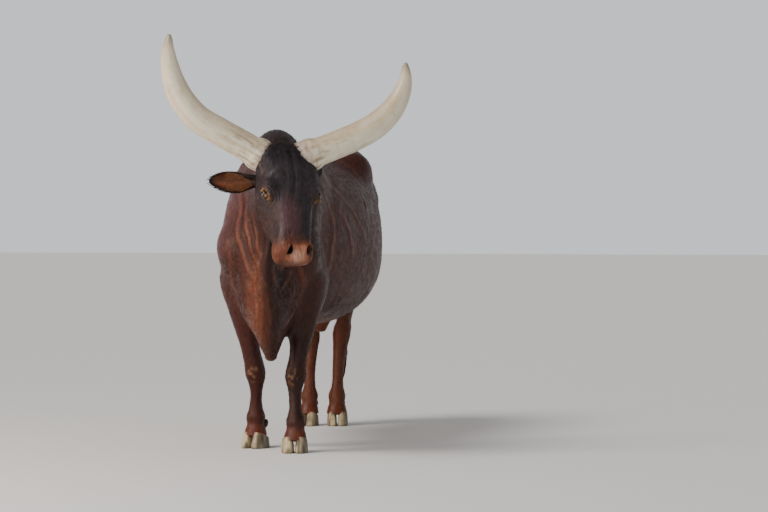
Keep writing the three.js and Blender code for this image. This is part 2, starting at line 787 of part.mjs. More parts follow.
// Flesh, meshed a region at a time and parted by thin cuts.
const FORE_CUT = 566;
const HIND_CUT = 700;
const WAIST = 310;
const HAUNCH = 1010;
const head = skin(flesh, face, [-172, -326, -74], [170, 60, 640], [24, 25, 28]);
const front = skin(flesh, backward, [-380, 376, -560], [380, 1580, 430], [43, 48, 54]);
const rear = skin(flesh, backward, [-440, 440, 230], [440, 1540, 1640], [55, 60, 74]);

const inFace = (level, along) => new THREE.Vector3(0, level, along).transformDirection(face.matrix);
const napePlane = [face.point(0, -112, -10), inFace(245, 173)];
const jawPlane = [face.point(0, -288, 261), inFace(232, -102)];
const [, foreBody] = part(front, [napePlane, jawPlane]);
let skullFlesh = head.intersect(region([napePlane, jawPlane], 0));

const breastPlane = [new THREE.Vector3(0, -352, 1030), new THREE.Vector3(0, -470, -268)];
const betweenLegs = [new THREE.Vector3(0, -116, 600), new THREE.Vector3(0, -1, 0)];
const [, chestAndNeck] = part(foreBody, [breastPlane, betweenLegs]);
const fold = skin(flesh, backward, [-150, 376, -560], [210, 1160, -80], [20, 46, 32]);
const jawAside = [jawPlane[0], jawPlane[1].clone().negate()];
const dewlapFlesh = fold.intersect(region([breastPlane, betweenLegs, jawAside], -SEAM));
const neckPlane = [new THREE.Vector3(0, -60, 1400), new THREE.Vector3(0, -0.86, 0.5)];
let [neckFlesh, shoulders] = part(chestAndNeck, [neckPlane]);
const [, foreTrunk] = cut(shoulders, new THREE.Vector3(0, WAIST, 0), Y);
const [humpFlesh, chestOnLegs] = cut(foreTrunk, new THREE.Vector3(0, 0, 1398), Z);
const [chestFlesh] = cut(chestOnLegs, new THREE.Vector3(0, 0, FORE_CUT), Z);
const [rearTrunk] = cut(rear, new THREE.Vector3(0, WAIST, 0), Y);
const [haunchOnLegs, barrelFlesh] = cut(rearTrunk, new THREE.Vector3(0, HAUNCH, 0), Y);
const [haunches] = cut(haunchOnLegs, new THREE.Vector3(0, 0, HIND_CUT), Z);

for (const [side, sign] of Object.entries(SIDES)) {
  const socket = eyeAxes(sign);
  skullFlesh = skullFlesh.add(lids(socket)).subtract(eyeball(socket, SEAM));
  for (const grown of [horn(side, SEAM), earSeat(side), ear(side, SEAM)]) {
    skullFlesh = skullFlesh.subtract(grown);
    neckFlesh = neckFlesh.subtract(grown);
  }
  node("eye_" + side, eyeball(socket, 0), EYEBALL, 0.1);
  node("horn_" + side, horn(side), HORN, 0.45);
  node("ear_" + side, ear(side), FACE);
}
for (const sign of Object.values(SIDES)) skullFlesh = skullFlesh.subtract(nostril(sign));
node("head", skullFlesh.subtract(mouthLine()), FACE);
node("neck", neckFlesh, COAT);
node("dewlap", dewlapFlesh, COAT);
node("hump", humpFlesh, COAT);
node("chest", chestFlesh, COAT);
node("barrel", barrelFlesh, COAT);


// Legs: the upper piece with the knee or hock, and the lower piece down to the claws.
const LEGS = {
  fore: { joints: foreJoints, feet: FORE_FOOT, top: FORE_CUT, part: 292, name: "fore" },
  hind: { joints: hindJoints, feet: HIND_FOOT, top: HIND_CUT, part: 300, name: "hind" },
};
const LOWER_LEVELS = [0, 0.06, 0.15, 0.26, 0.38, 0.55, 0.78, 1];
const UPPER_LEVELS = {
  fore: [0, 0.09, 0.2, 0.3, 0.42, 0.6, 0.8, 1],
  hind: [0, 0.16, 0.3, 0.4, 0.5, 0.6, 0.75, 0.88, 1],
};
for (const [end, leg] of Object.entries(LEGS))
  for (const [side, sign] of Object.entries(SIDES)) {
    const centreAt = through(leg.joints[side]);
    const size = CLAW_SIZE[end];
    const axes = footAxes(leg.feet[side], TOE_OUT[end][side], sign);
    const across = new THREE.Vector3().setFromMatrixColumn(axes.matrix, 0);
    const ahead = new THREE.Vector3().setFromMatrixColumn(axes.matrix, 1);
    const level = (height) => {
      const [, x, forward] = centreAt(height);
      return { centre: new THREE.Vector3(x, -forward, height), across, ahead };
    };
    const upper = UPPER_LEVELS[end].map((t) =>
      level(THREE.MathUtils.lerp(leg.part + SEAM / 2, leg.top - SEAM / 2, t)),
    );
    node(`${leg.name}leg_${side}`, wrap(upper, 12, 170), COAT);

    // The lowest ring leans with the hairline of the claws.
    const tilt = Math.atan2(CLAW.front - CLAW.heel, 80);
    const leant = ahead.clone().multiplyScalar(Math.cos(tilt)).addScaledVector(Z, Math.sin(tilt));
    const bottom = axes.point(0, 0, hairline(0));
    const lower = LOWER_LEVELS.map((t) => {
      const height = THREE.MathUtils.lerp(bottom.z + 4, leg.part - SEAM / 2, t);
      const ease = Math.max(1 - t / 0.26, 0);
      const found = level(height);
      const lean = ahead.clone().lerp(leant, ease).normalize();
      return { centre: t === 0 ? bottom : found.centre, across, ahead: lean };
    });
    let foot = wrap(lower, 12, 110);
    for (const outer of [1, -1]) {
      foot = foot.subtract(dewclaw(axes, outer, SEAM));
      const lower = outer === sign ? "outer" : "inner";
      node(`dewclaw_${leg.name}_${side}_${lower}`, dewclaw(axes, outer), HOOF);
      node(`claw_${leg.name}_${side}_${lower}`, claw(axes, outer, size), HOOF);
    }
    node(`${leg.name}foot_${side}`, foot, COAT);
  }

// Tail: it hangs behind the left hind leg and ends in a switch.
const TAIL_RUN = [
  [0, 1440, 1352], [4, 1500, 1338], [14, 1556, 1270], [26, 1578, 1140], [38, 1576, 980],
  [46, 1570, 800], [50, 1566, 640], [52, 1564, 500], [52, 1562, 440],
];
const tailRadius = through([[0, 44], [0.1, 40], [0.2, 31], [0.4, 22], [0.7, 16], [1, 11]]);
const tailPoints = TAIL_RUN.map((place) => new THREE.Vector3(...place));
const tail = (grow) =>
  sweep(lengthened(tailPoints, grow), 20, (t) => [tailRadius(t)[1] + grow, tailRadius(t)[1] + grow], 10);

// Switch: the long hair at the end of the tail, as one smooth drop out to its tips.
const SWITCH_RUN = [
  [52, 1563, 548],
  [52, 1563, 480],
  [53, 1565, 380],
  [55, 1568, 280],
  [57, 1572, 206],
];
const switchReach = through([[0, 21, 20], [0.22, 33, 30], [0.5, 40, 36], [0.8, 27, 24], [1, 6, 5]]);
const switchPoints = SWITCH_RUN.map((place) => new THREE.Vector3(...place));
const hair = sweep(switchPoints, 9, (t) => switchReach(t).slice(1), 12);
node("hindquarters", haunches.subtract(tail(SEAM)), COAT);
node("tail", tail(0), COAT);
node("tail_switch", hair.subtract(tail(SEAM)), SWITCH_HAIR, 0.8);

// The origin goes under the middle of the bounding box.
const bounds = new THREE.Box3().setFromObject(bull);
const middle = bounds.getCenter(new THREE.Vector3());
bull.position.set(-middle.x, -middle.y, -bounds.min.z);
export default bull;
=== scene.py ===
# An ankole watusi bull, life size, standing with its head turned to its left.
# Forms are worked out in millimetres, with the origin on the ground midway between the fore feet,
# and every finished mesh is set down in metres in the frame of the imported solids.

import math

import bmesh
import bpy
import numpy as np
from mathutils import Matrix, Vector


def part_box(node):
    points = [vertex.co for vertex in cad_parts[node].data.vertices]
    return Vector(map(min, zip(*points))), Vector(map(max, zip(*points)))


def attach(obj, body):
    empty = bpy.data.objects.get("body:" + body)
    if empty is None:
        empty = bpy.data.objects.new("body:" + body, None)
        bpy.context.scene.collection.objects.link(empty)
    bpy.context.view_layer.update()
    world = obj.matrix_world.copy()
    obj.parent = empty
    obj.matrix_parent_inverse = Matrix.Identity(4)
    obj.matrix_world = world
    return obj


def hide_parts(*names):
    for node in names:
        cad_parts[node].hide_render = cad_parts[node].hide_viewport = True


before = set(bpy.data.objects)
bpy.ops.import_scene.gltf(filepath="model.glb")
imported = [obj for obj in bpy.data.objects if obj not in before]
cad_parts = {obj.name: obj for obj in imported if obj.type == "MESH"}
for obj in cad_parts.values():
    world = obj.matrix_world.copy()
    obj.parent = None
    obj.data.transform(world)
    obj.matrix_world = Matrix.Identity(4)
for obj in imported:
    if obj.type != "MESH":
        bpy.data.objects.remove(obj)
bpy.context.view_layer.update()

SIDES = {"left": 1, "right": -1}
BODY = "root"

# Stance, as in the solids
FORE_FOOT = {"left": (119, -103), "right": (-106, 103)}
HIND_FOOT = {"left": (72, 1365), "right": (-78, 1335)}
HOCK_OUT = {"left": 14, "right": -4}
TOE_OUT = {"fore": {"left": 6, "right": 20}, "hind": {"left": 8, "right": 10}}
POLL = (149, -425, 1440)
CROWN = (137, -425, 1440)
HEAD_SLOPE = 29
FACE_HELD = {"turn": 30, "roll": -3.5}
HORNS_HELD = {"turn": 22, "roll": 2}
COAT_DEPTH = 3


# Axes and simple vector work
def unit(vector):
    vector = np.asarray(vector, float)
    return vector / np.maximum(np.linalg.norm(vector, axis=-1, keepdims=True), 1e-12)


def turned(vector, axis, degrees):
    angle = math.radians(degrees)
    axis = unit(axis)
    kept = axis * (axis @ vector)
    return kept + (vector - kept) * math.cos(angle) + np.cross(axis, vector) * math.sin(angle)


class Axes:
    """A place with three directions of its own."""

    def __init__(self, origin, across, level, along):
        self.origin = np.asarray(origin, float)
        self.basis = np.array([across, level, along], float)

    def local(self, points):
        return (points - self.origin) @ self.basis.T

    def point(self, across, level, along):
        return self.origin + np.array([across, level, along], float) @ self.basis

    def points(self, rows):
        return self.origin + np.asarray(rows, float) @ self.basis

    def direction(self, across, level, along):
        return unit(np.array([across, level, along], float) @ self.basis)


X, Y, Z = np.eye(3)
backward = Axes((0, 0, 0), X, Z, Y)
upward = Axes((0, 0, 0), X, -Y, Z)


def held_axes(held):
    turn = math.radians(held["turn"])
    ahead = np.array([math.sin(turn), -math.cos(turn), 0])
    left = turned(np.array([math.cos(turn), math.sin(turn), 0]), ahead, held["roll"])
    return left, ahead, turned(Z, ahead, held["roll"])


def face_axes():
    slope = math.radians(HEAD_SLOPE)
    left, ahead, up = held_axes(FACE_HELD)
    down_face = ahead * math.sin(slope) - up * math.cos(slope)
    out_of_face = ahead * math.cos(slope) + up * math.sin(slope)
    return Axes(POLL, left, out_of_face, down_face)


face = face_axes()
crown = Axes(CROWN, *held_axes(HORNS_HELD))


def foot_axes(foot, toe_out, sign):
    turn = math.radians(toe_out) * sign
    across = (math.cos(turn), math.sin(turn), 0)
    ahead = (math.sin(turn), -math.cos(turn), 0)
    return Axes((foot[0], foot[1], 0), across, ahead, Z)


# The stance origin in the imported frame, from the middle of one dewclaw
DEWCLAW = {"aside": 26, "behind": 46, "height": 112, "size": (13, 14, 23), "lean": 0.5}
low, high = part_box("dewclaw_fore_left_outer")
dewclaw_place = foot_axes(FORE_FOOT["left"], TOE_OUT["fore"]["left"], 1).point(
    DEWCLAW["aside"], -DEWCLAW["behind"], DEWCLAW["height"]
)
STANCE = np.array((low + high) / 2) - dewclaw_place / 1000
STANCE[2] = 0


def to_frame(points):
    return np.asarray(points) / 1000 + STANCE


def from_frame(points):
    return (np.asarray(points) - STANCE) * 1000


# Forms: functions of points that are negative inside, in about millimetres
def through(rows):
    """A smooth curve through rows of numbers; each row starts with its place along the curve."""
    table = np.array(rows, float)
    places = table[:, 0]
    last = len(table) - 1
    before = np.maximum(np.arange(last + 1) - 1, 0)
    after = np.minimum(np.arange(last + 1) + 1, last)
    slopes = (table[after] - table[before]) / (places[after] - places[before])[:, None]

    def at(place):
        i = np.clip(np.searchsorted(places, place) - 1, 0, last - 1)
        span = places[i + 1] - places[i]
        t = np.clip((place - places[i]) / span, 0, 1)[..., None]
        span = np.asarray(span)[..., None]
        ease = t * t * (3 - 2 * t)
        leave = t * (1 - t) ** 2 * span
        arrive = t * t * (t - 1) * span
        return table[i] + (table[i + 1] - table[i]) * ease + slopes[i] * leave + slopes[i + 1] * arrive

    return at


def loft(axes, rows, caps, squareness=2.0):
    """Rows: place along, centre across, centre level, half width, reach above, reach below."""
    section = through(rows)
    start, end = rows[0][0], rows[-1][0]

    def form(points):
        across, level, along = axes.local(points).T
        _, middle, centre, half, above, below = section(along).T
        reach = np.where(level > centre, above, below)
        sideways = np.abs((across - middle) / half) ** squareness
        upwards = np.abs((level - centre) / reach) ** squareness
        size = (sideways + upwards) ** (1 / squareness)
        past = np.where(along < start, (start - along) / caps[0], np.maximum(along - end, 0) / caps[1])
        size = np.where(past > 0, np.hypot(size, past), size)
        return (size - 1) * np.minimum(half, reach)

    return form


def ball(axes, centre, radii):
    centre = np.asarray(centre, float)
    radii = np.asarray(radii, float)

    def form(points):
        scaled = (axes.local(points) - centre) / radii
        size = np.linalg.norm(scaled, axis=-1)
        return size * (size - 1) / np.maximum(np.linalg.norm(scaled / radii, axis=-1), 1e-9)

    return form


def bar(start, end, start_radius, end_radius):
    start = np.asarray(start, float)
    run = np.asarray(end, float) - start
    length2 = run @ run

    def form(points):
        out = points - start
        t = np.clip(out @ run / length2, 0, 1)
        radius = start_radius + (end_radius - start_radius) * t
        return np.linalg.norm(out - t[:, None] * run, axis=-1) - radius

    return form


def both_sides(form):
    return lambda points: form(points * np.array([-1.0, 1, 1]) ** (points[:, :1] < 0))


def face_pair(form):
    def paired(points):
        inner = face.local(points)
        inner[:, 0] = np.abs(inner[:, 0])
        return form(face.points(inner))

    return paired


def blend(a, b, soft):
    near = np.maximum(soft - np.abs(a - b), 0) / soft
    return np.minimum(a, b) - near * near * soft / 4


def carve(a, b, soft):
    """Takes form b out of form a, with a rounded edge."""
    return -blend(-a, b, soft)


barrel = loft(
    backward,
    [
        (-200, 0, 920, 130, 190, 230),
        (-80, 0, 940, 180, 320, 325),
        (60, 0, 955, 215, 420, 355),
        (260, 0, 955, 285, 430, 372),
        (500, 0, 945, 350, 420, 382),
        (740, 0, 930, 384, 430, 375),
        (940, 0, 950, 372, 430, 360),
        (1100, 0, 1010, 326, 404, 320),
        (1250, 0, 1070, 262, 350, 290),
        (1400, 0, 1100, 190, 275, 240),
    ],
    (80, 90),
    2.4,
)
hump = ball(backward, (0, 1378, 75), (82, 108, 155))
withers = ball(backward, (0, 1260, 200), (85, 145, 260))
scapula = both_sides(bar((100, 150, 1250), (132, -130, 980), 84, 90))
upper_arm = both_sides(bar((136, -110, 920), (150, 40, 770), 88, 88))
brisket = ball(backward, (8, 680, -130), (105, 150, 170))
hip_bone = both_sides(bar((214, 1010, 1318), (122, 1250, 1342), 74, 84))
thigh = both_sides(bar((150, 1250, 1150), (165, 1180, 900), 150, 118))
buttock = both_sides(bar((92, 1420, 1180), (118, 1350, 900), 88, 95))
stifle = both_sides(ball(backward, (178, 850, 1105), (75, 115, 100)))
flank_fold = both_sides(bar((215, 1010, 900), (190, 1100, 780), 60, 55))
purse = loft(
    upward,
    [
        (505, 4, -1225, 34, 30, 30),
        (560, 4, -1225, 60, 52, 52),
        (640, 2, -1222, 52, 46, 46),
        (760, 0, -1215, 34, 40, 40),
    ],
    (14, 20),
)
sheath = loft(
    backward,
    [
        (690, 0, 528, 24, 40, 22),
        (770, 0, 540, 34, 60, 32),
        (900, 0, 560, 40, 60, 38),
        (1050, 0, 620, 36, 60, 36),
    ],
    (26, 30),
)
neck = loft(
    backward,
    [
        (-430, 104, 1240, 84, 148, 160),
        (-340, 80, 1200, 100, 190, 205),
        (-220, 46, 1160, 115, 228, 270),
        (-80, 12, 1120, 130, 268, 330),
        (80, 0, 1100, 130, 290, 300),
    ],
    (70, 60),
    2.1,
)
dewlap = loft(
    upward,
    [
        (455, 28, 205, 30, 45, 60),
        (520, 26, 225, 54, 85, 110),
        (620, 24, 255, 70, 95, 150),
        (740, 30, 280, 56, 105, 170),
        (860, 46, 310, 44, 110, 170),
        (960, 66, 345, 34, 105, 150),
        (1050, 88, 385, 36, 82, 120),
    ],
    (28, 60),
)
skull = loft(
    face,
    [
        (40, 8, -88, 80, 60, 70),
        (74, 13, -90, 110, 78, 100),
        (130, 19, -90, 138, 88, 135),
        (205, 13, -90, 135, 88, 162),
        (275, 9, -92, 106, 84, 160),
        (345, 6, -92, 97, 76, 134),
        (410, 2, -90, 91, 68, 104),
        (465, -6, -88, 89, 64, 84),
        (505, -12, -90, 92, 57, 74),
        (540, -14, -99, 89, 50, 60),
        (562, -14, -107, 80, 41, 48),
    ],
    (20, 16),
    2.35,
)
brow = face_pair(ball(face, (104, -48, 240), (30, 34, 48)))
cheek = face_pair(ball(face, (50, -165, 285), (32, 84, 90)))
jaw = face_pair(bar(face.point(52, -235, 235), face.point(26, -140, 500), 32, 26))
lip = face_pair(ball(face, (46, -104, 528), (40, 38, 40)))
nostril_wing = face_pair(ball(face, (48, -52, 520), (28, 22, 30)))
chin = ball(face, (-10, -150, 524), (44, 20, 42))
throat = bar(face.point(0, -200, 240), face.point(0, -175, 430), 52, 26)
horn_boss = face_pair(bar(face.point(30, -74, 66), face.point(76, -74, 62), 68, 66))
nape = ball(face, (0, -134, 54), (86, 95, 90))

# Legs: rows of height, half width, reach forward, reach back; the centre follows the joints
FORE_SECTIONS = [
    (62, 56, 52, 52),
    (84, 52, 46, 50),
    (112, 43, 37, 44),
    (146, 46, 40, 50),
    (190, 33, 33, 40),
    (250, 30, 32, 36),
    (296, 36, 37, 38),
    (345, 50, 50, 44),
    (392, 49, 46, 44),
    (440, 45, 46, 46),
    (510, 51, 55, 56),
    (600, 64, 74, 76),
    (700, 74, 88, 92),
    (800, 78, 90, 96),
]
HIND_SECTIONS = [
    (66, 55, 52, 50),
    (88, 50, 46, 48),
    (116, 42, 37, 44),
    (152, 46, 40, 50),
    (200, 34, 34, 38),
    (290, 33, 33, 36),
    (390, 38, 40, 42),
    (450, 46, 52, 54),
    (500, 46, 54, 60),
    (545, 38, 52, 58),
    (620, 46, 74, 62),
    (700, 68, 108, 84),
    (800, 92, 130, 110),
    (900, 104, 130, 120),
]


def leg_form(joints, sections):
    centre = through(joints)
    rows = []
    for height, half, ahead, behind in sections:
        _, x, forward = centre(np.array([float(height)]))[0]
        rows.append((height, x, forward, half, ahead, behind))
    return loft(upward, rows, (10, 60), 2.1)


leg_forms = []
for side, sign in SIDES.items():
    foot_x, foot_y = FORE_FOOT[side]
    fore_joints = [
        (0, foot_x, -foot_y + 12),
        (120, foot_x + sign * 2, -foot_y - 10),
        (350, foot_x - sign * 4, -foot_y * 0.72 - 14),
        (480, foot_x * 0.55 + sign * 66, -foot_y * 0.5 - 14),
        (640, sign * 152, -foot_y * 0.25 - 22),
        (800, sign * 170, -20),
    ]
    heel_x, heel_y = HIND_FOOT[side]
    hind_joints = [
        (0, heel_x, -heel_y + 8),
        (120, heel_x - sign * 6, -heel_y - 16),
        (300, heel_x - sign * 2, -heel_y - 40),
        (490, heel_x + sign * HOCK_OUT[side], -heel_y - 62),
        (600, heel_x * 0.5 + sign * 80, -heel_y + 8),
        (760, sign * 150, -1235),
        (900, sign * 165, -1200),
    ]
    leg_forms.append(leg_form(fore_joints, FORE_SECTIONS))
    leg_forms.append(leg_form(hind_joints, HIND_SECTIONS))

FLESH = [
    (barrel, 1),
    (withers, 120),
    (neck, 110),
    (hump, 70),
    (brisket, 120),
    (scapula, 100),
    (upper_arm, 90),
    (hip_bone, 120),
    (thigh, 90),
    (buttock, 70),
    (stifle, 80),
    (flank_fold, 90),
    (sheath, 40),
    (purse, 40),
    (dewlap, 55),
    (skull, 60),
    (nape, 60),
    (brow, 36),
    (cheek, 50),
    (jaw, 40),
    (throat, 40),
    (lip, 26),
    (nostril_wing, 18),
    (chin, 24),
    (horn_boss, 40),
] + [(form, 50) for form in leg_forms]

# The body's space in blocks: each block knows which forms matter in it
BLOCK = 64.0
FAR = 1e4
HALF_DIAGONAL = 0.87 * BLOCK
FORM_MARGIN = 2.4
SURFACE_MARGIN = 2.2
SPACE_LOW = np.array([-448.0, -832.0, -64.0])
SPACE_BLOCKS = np.array([14, 39, 26])


def block_centres():
    grid = np.indices(SPACE_BLOCKS).reshape(3, -1).T
    return SPACE_LOW + (grid + 0.5) * BLOCK


class Field:
    """Forms joined one after another, with each one worked out only where it matters."""

    def __init__(self, forms, depth, last=None):
        self.forms = forms
        self.depth = depth
        self.last = last
        centres = block_centres()
        reach = HALF_DIAGONAL * FORM_MARGIN
        self.matters = []
        value = np.full(len(centres), FAR)
        for form, soft in forms:
            here = form(centres)
            self.matters.append(here < reach + soft)
            value = blend(value, here, soft)
        self.centre_value = value
        self.near = np.abs(value) < HALF_DIAGONAL * SURFACE_MARGIN

    def block_of(self, points):
        place = np.floor((points - SPACE_LOW) / BLOCK).astype(int)
        place = np.clip(place, 0, SPACE_BLOCKS - 1)
        return (place[:, 0] * SPACE_BLOCKS[1] + place[:, 1]) * SPACE_BLOCKS[2] + place[:, 2]

    def __call__(self, points):
        block = self.block_of(points)
        value = np.full(len(points), FAR)
        for (form, soft), matters in zip(self.forms, self.matters):
            chosen = np.flatnonzero(matters[block])
            if len(chosen):
                value[chosen] = blend(value[chosen], form(points[chosen]), soft)
        value = value + self.depth
        return self.last(points, value) if self.last else value


# Eyes: their places come from the solids
def eye_axes(side):
    low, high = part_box("eye_" + side)
    centre = from_frame(np.array((low + high) / 2))
    outward = face.direction(SIDES[side] * 0.86, 0.5, -0.02)
    front = face.direction(0, 0.35, 0.94)
    down = unit(np.cross(outward, front))
    front = unit(np.cross(down, outward))
    return Axes(centre, front, down, outward)


EYE_RADIUS = 20
EYE_GAP = 0.6
LID = {"long": 24, "high": 12, "thick": 5, "lift": 17, "steps": 24, "soft": 5, "edge": 2}
eye_places = {side: eye_axes(side) for side in SIDES}


def lid_ring(axes):
    """The almond edge of the lids, as places round the eye."""
    angle = np.linspace(0, 2 * math.pi, LID["steps"] + 1)[:-1]
    along = LID["long"] * np.cos(angle)
    rise = LID["high"] * np.sin(angle) * (1 - 0.25 * np.cos(angle) ** 2)
    lift = LID["lift"] - (along**2 + rise**2) / (2 * EYE_RADIUS + 22)
    return axes.points(np.stack([along, rise, lift], 1))


rings = {side: lid_ring(axes) for side, axes in eye_places.items()}
NOSTRIL = {"middle": 9, "place": (46, -53, 534), "tilt": 34}
NOSTRIL |= {"size": (11, 20, 30), "soft": 7, "dark": (19, 23, 26)}
MOUTH = {"level": -130, "bow": 0.0008, "front": 560, "half": 1.6, "start": 440, "deep": 9, "soft": 5}


def fine_forms(points, value):
    """Small forms of the face: sockets, lids, nostrils and the line of the mouth."""
    inner = face.local(points)
    close = np.flatnonzero((np.abs(inner[:, 0]) < 180) & (inner[:, 2] > 140) & (inner[:, 2] < 640))
    if not len(close):
        return value
    here = points[close]
    shape = value[close]
    inner = inner[close]
    for side, axes in eye_places.items():
        out = np.linalg.norm(here - axes.origin, axis=1)
        near = np.flatnonzero(out < 70)
        if not len(near):
            continue
        ring = rings[side]
        part = shape[near]
        for k in range(len(ring)):
            tube = bar(ring[k], ring[(k + 1) % len(ring)], LID["thick"], LID["thick"])
            part = blend(part, tube(here[near]), LID["soft"])
        shape[near] = carve(part, out[near] - EYE_RADIUS + EYE_GAP, LID["edge"])
    level, along = inner[:, 1], inner[:, 2]
    across = np.abs(inner[:, 0] - NOSTRIL["middle"])
    tilt = math.radians(NOSTRIL["tilt"])
    a, b, c = NOSTRIL["place"]
    u = (across - a) * math.cos(tilt) + (level - b) * math.sin(tilt)
    v = -(across - a) * math.sin(tilt) + (level - b) * math.cos(tilt)
    wide, high, long = NOSTRIL["size"]
    hole = (np.sqrt((u / wide) ** 2 + (v / high) ** 2 + ((along - c) / long) ** 2) - 1) * wide
    shape = carve(shape, hole, NOSTRIL["soft"])
    back = along - MOUTH["front"]
    depth = np.abs(level - MOUTH["level"] - MOUTH["bow"] * back * np.abs(back)) - MOUTH["half"]
    slot = np.maximum(depth, MOUTH["start"] - along)
    wall = np.maximum(slot, -(value[close] + MOUTH["deep"]))
    value = value.copy()
    value[close] = carve(shape, wall, MOUTH["soft"])
    return value


skin_field = Field(FLESH, COAT_DEPTH, fine_forms)


def slope(field, points, step=0.5):
    base = field(points)
    out = np.stack([field(points + step * axis) - base for axis in np.eye(3)], 1) / step
    return base, out


def settle(field, points, rounds, limit):
    """Moves points on to the surface of a field."""
    start = points.copy()
    for _ in range(rounds):
        value, steep = slope(field, points)
        size = np.maximum((steep**2).sum(1), 0.05)
        points = points - steep * (value / size)[:, None]
        moved = points - start
        length = np.linalg.norm(moved, axis=1, keepdims=True)
        points = start + moved * np.minimum(1, limit / np.maximum(length, 1e-9))
    return points


def surface(field, cells):
    """The surface of a field as quads: a point in each cell it crosses, a face across each crossed edge."""
    cell = BLOCK / cells
    shape = SPACE_BLOCKS * cells
    blocks = np.flatnonzero(field.near)
    offsets = np.indices((cells, cells, cells)).reshape(3, -1).T
    where = np.stack(np.unravel_index(blocks, SPACE_BLOCKS), 1) * cells
    sign = np.where(field.centre_value < 0, -FAR, FAR).reshape(SPACE_BLOCKS).astype(np.float32)
    values = sign.repeat(cells, 0).repeat(cells, 1).repeat(cells, 2)
    for start in range(0, len(blocks), 1000):
        grid = (where[start : start + 1000, None, :] + offsets).reshape(-1, 3)
        found = field(SPACE_LOW + grid * cell + 1e-6)
        values[grid[:, 0], grid[:, 1], grid[:, 2]] = found
    inside = values < 0
    corners = [(c & 1, (c >> 1) & 1, (c >> 2) & 1) for c in range(8)]
    trimmed = tuple(s - 1 for s in shape)

    def shifted(array, corner):
        return array[tuple(slice(o, o + t) for o, t in zip(corner, trimmed))]

    count = sum(shifted(inside, corner).astype(np.int8) for corner in corners)
    mixed = (count > 0) & (count < 8)
    index = np.full(trimmed, -1, np.int64)
    index[mixed] = np.arange(mixed.sum())
    places = np.argwhere(mixed)
    total = np.zeros((len(places), 3))
    crossings = np.zeros(len(places))
    for a in range(8):
        for bit in (1, 2, 4):
            if a & bit:
                continue
            ca, cb = np.array(corners[a]), np.array(corners[a | bit])
            va = values[tuple((places + ca).T)].astype(float)
            vb = values[tuple((places + cb).T)].astype(float)
            crossed = (va < 0) != (vb < 0)
            t = np.where(crossed, va / np.where(crossed, va - vb, 1), 0)
            total += np.where(crossed[:, None], ca + (cb - ca) * t[:, None], 0)
            crossings += crossed
    points = SPACE_LOW + (places + total / crossings[:, None]) * cell
    quads = []
    for axis in range(3):
        b, c = [k for k in range(3) if k != axis]
        ahead = np.roll(inside, -1, axis)
        changed = inside != ahead
        for k in range(3):
            edge = [slice(None)] * 3
            edge[k] = -1
            changed[tuple(edge)] = False
            if k != axis:
                edge[k] = 0
                changed[tuple(edge)] = False
        edges = np.argwhere(changed)
        step_b = np.eye(3, dtype=int)[b]
        step_c = np.eye(3, dtype=int)[c]
        around = [edges - step_b - step_c, edges - step_c, edges, edges - step_b]
        quad = np.stack([index[tuple(e.T)] for e in around], 1)
        turn = inside[tuple(edges.T)] == (axis != 1)
        quad[~turn] = quad[~turn][:, ::-1]
        quads.append(quad)
    return settle(field, points, 3, cell * 0.7), np.concatenate(quads)


# Meshes
def mesh_object(name, points, faces, in_frame=False):
    """A mesh object from points in stance millimetres and faces of equal or mixed size."""
    mesh = bpy.data.meshes.new(name)
    points = np.asarray(points if in_frame else to_frame(points), float)
    if isinstance(faces, np.ndarray):
        mesh.vertices.add(len(points))
        mesh.vertices.foreach_set("co", points.ravel())
        mesh.loops.add(faces.size)
        mesh.loops.foreach_set("vertex_index", faces.ravel())
        mesh.polygons.add(len(faces))
        mesh.polygons.foreach_set("loop_start", np.arange(0, faces.size, faces.shape[1]))
        mesh.update(calc_edges=True)
    else:
        mesh.from_pydata(points.tolist(), [], faces)
    mesh.shade_smooth()
    made = bpy.data.objects.new(name, mesh)
    bpy.context.scene.collection.objects.link(made)
    return made


def points_of(mesh):
    flat = np.empty(len(mesh.vertices) * 3)
    mesh.vertices.foreach_get("co", flat)
    return flat.reshape(-1, 3)


def normals_of(mesh):
    flat = np.empty(len(mesh.vertices) * 3)
    mesh.vertex_normals.foreach_get("vector", flat)
    return flat.reshape(-1, 3)


skin_points, skin_quads = surface(skin_field, 6)
skin = mesh_object("skin", skin_points, skin_quads)


def refined(made, levels=0, chosen=None):
    """Smoothly divides a whole mesh, or plainly divides the faces round chosen points."""
    if levels:
        finer = made.modifiers.new("finer", "SUBSURF")
        finer.levels = levels
        depsgraph = bpy.context.evaluated_depsgraph_get()
        mesh = bpy.data.meshes.new_from_object(made.evaluated_get(depsgraph))
        made.modifiers.clear()
        made.data = mesh
    if chosen is not None:
        net = bmesh.new()
        net.from_mesh(made.data)
        net.verts.ensure_lookup_table()
        picked = [net.verts[i] for i in np.flatnonzero(chosen)]
        edges = {e for v in picked for e in v.link_edges}
        bmesh.ops.subdivide_edges(net, edges=list(edges), cuts=1, use_grid_fill=True, smooth=0)
        net.to_mesh(made.data)
        net.free()
    made.data.shade_smooth()


# Smooth steps, noise and lines
def smooth(value, low, high):
    t = np.clip((value - low) / (high - low), 0, 1)
    return t * t * (3 - 2 * t)


def noise(points, size, seed=0):
    """Smooth noise from -1 to 1 whose bumps are about one size across."""
    place = points / size + seed * 17.3
    cell = np.floor(place).astype(np.int64)
    t = place - cell
    t = t * t * (3 - 2 * t)
    total = np.zeros(len(points))
    for corner in range(8):
        offset = np.array([corner & 1, (corner >> 1) & 1, corner >> 2])
        key = (cell + offset) @ np.array([73856093, 19349663, 83492791])
        key = (key ^ (key >> 13)) * 1274126177
        random = ((key ^ (key >> 16)) & 0xFFFF) / 32767.5 - 1
        total += random * np.prod(np.where(offset, t, 1 - t), axis=1)
    return total


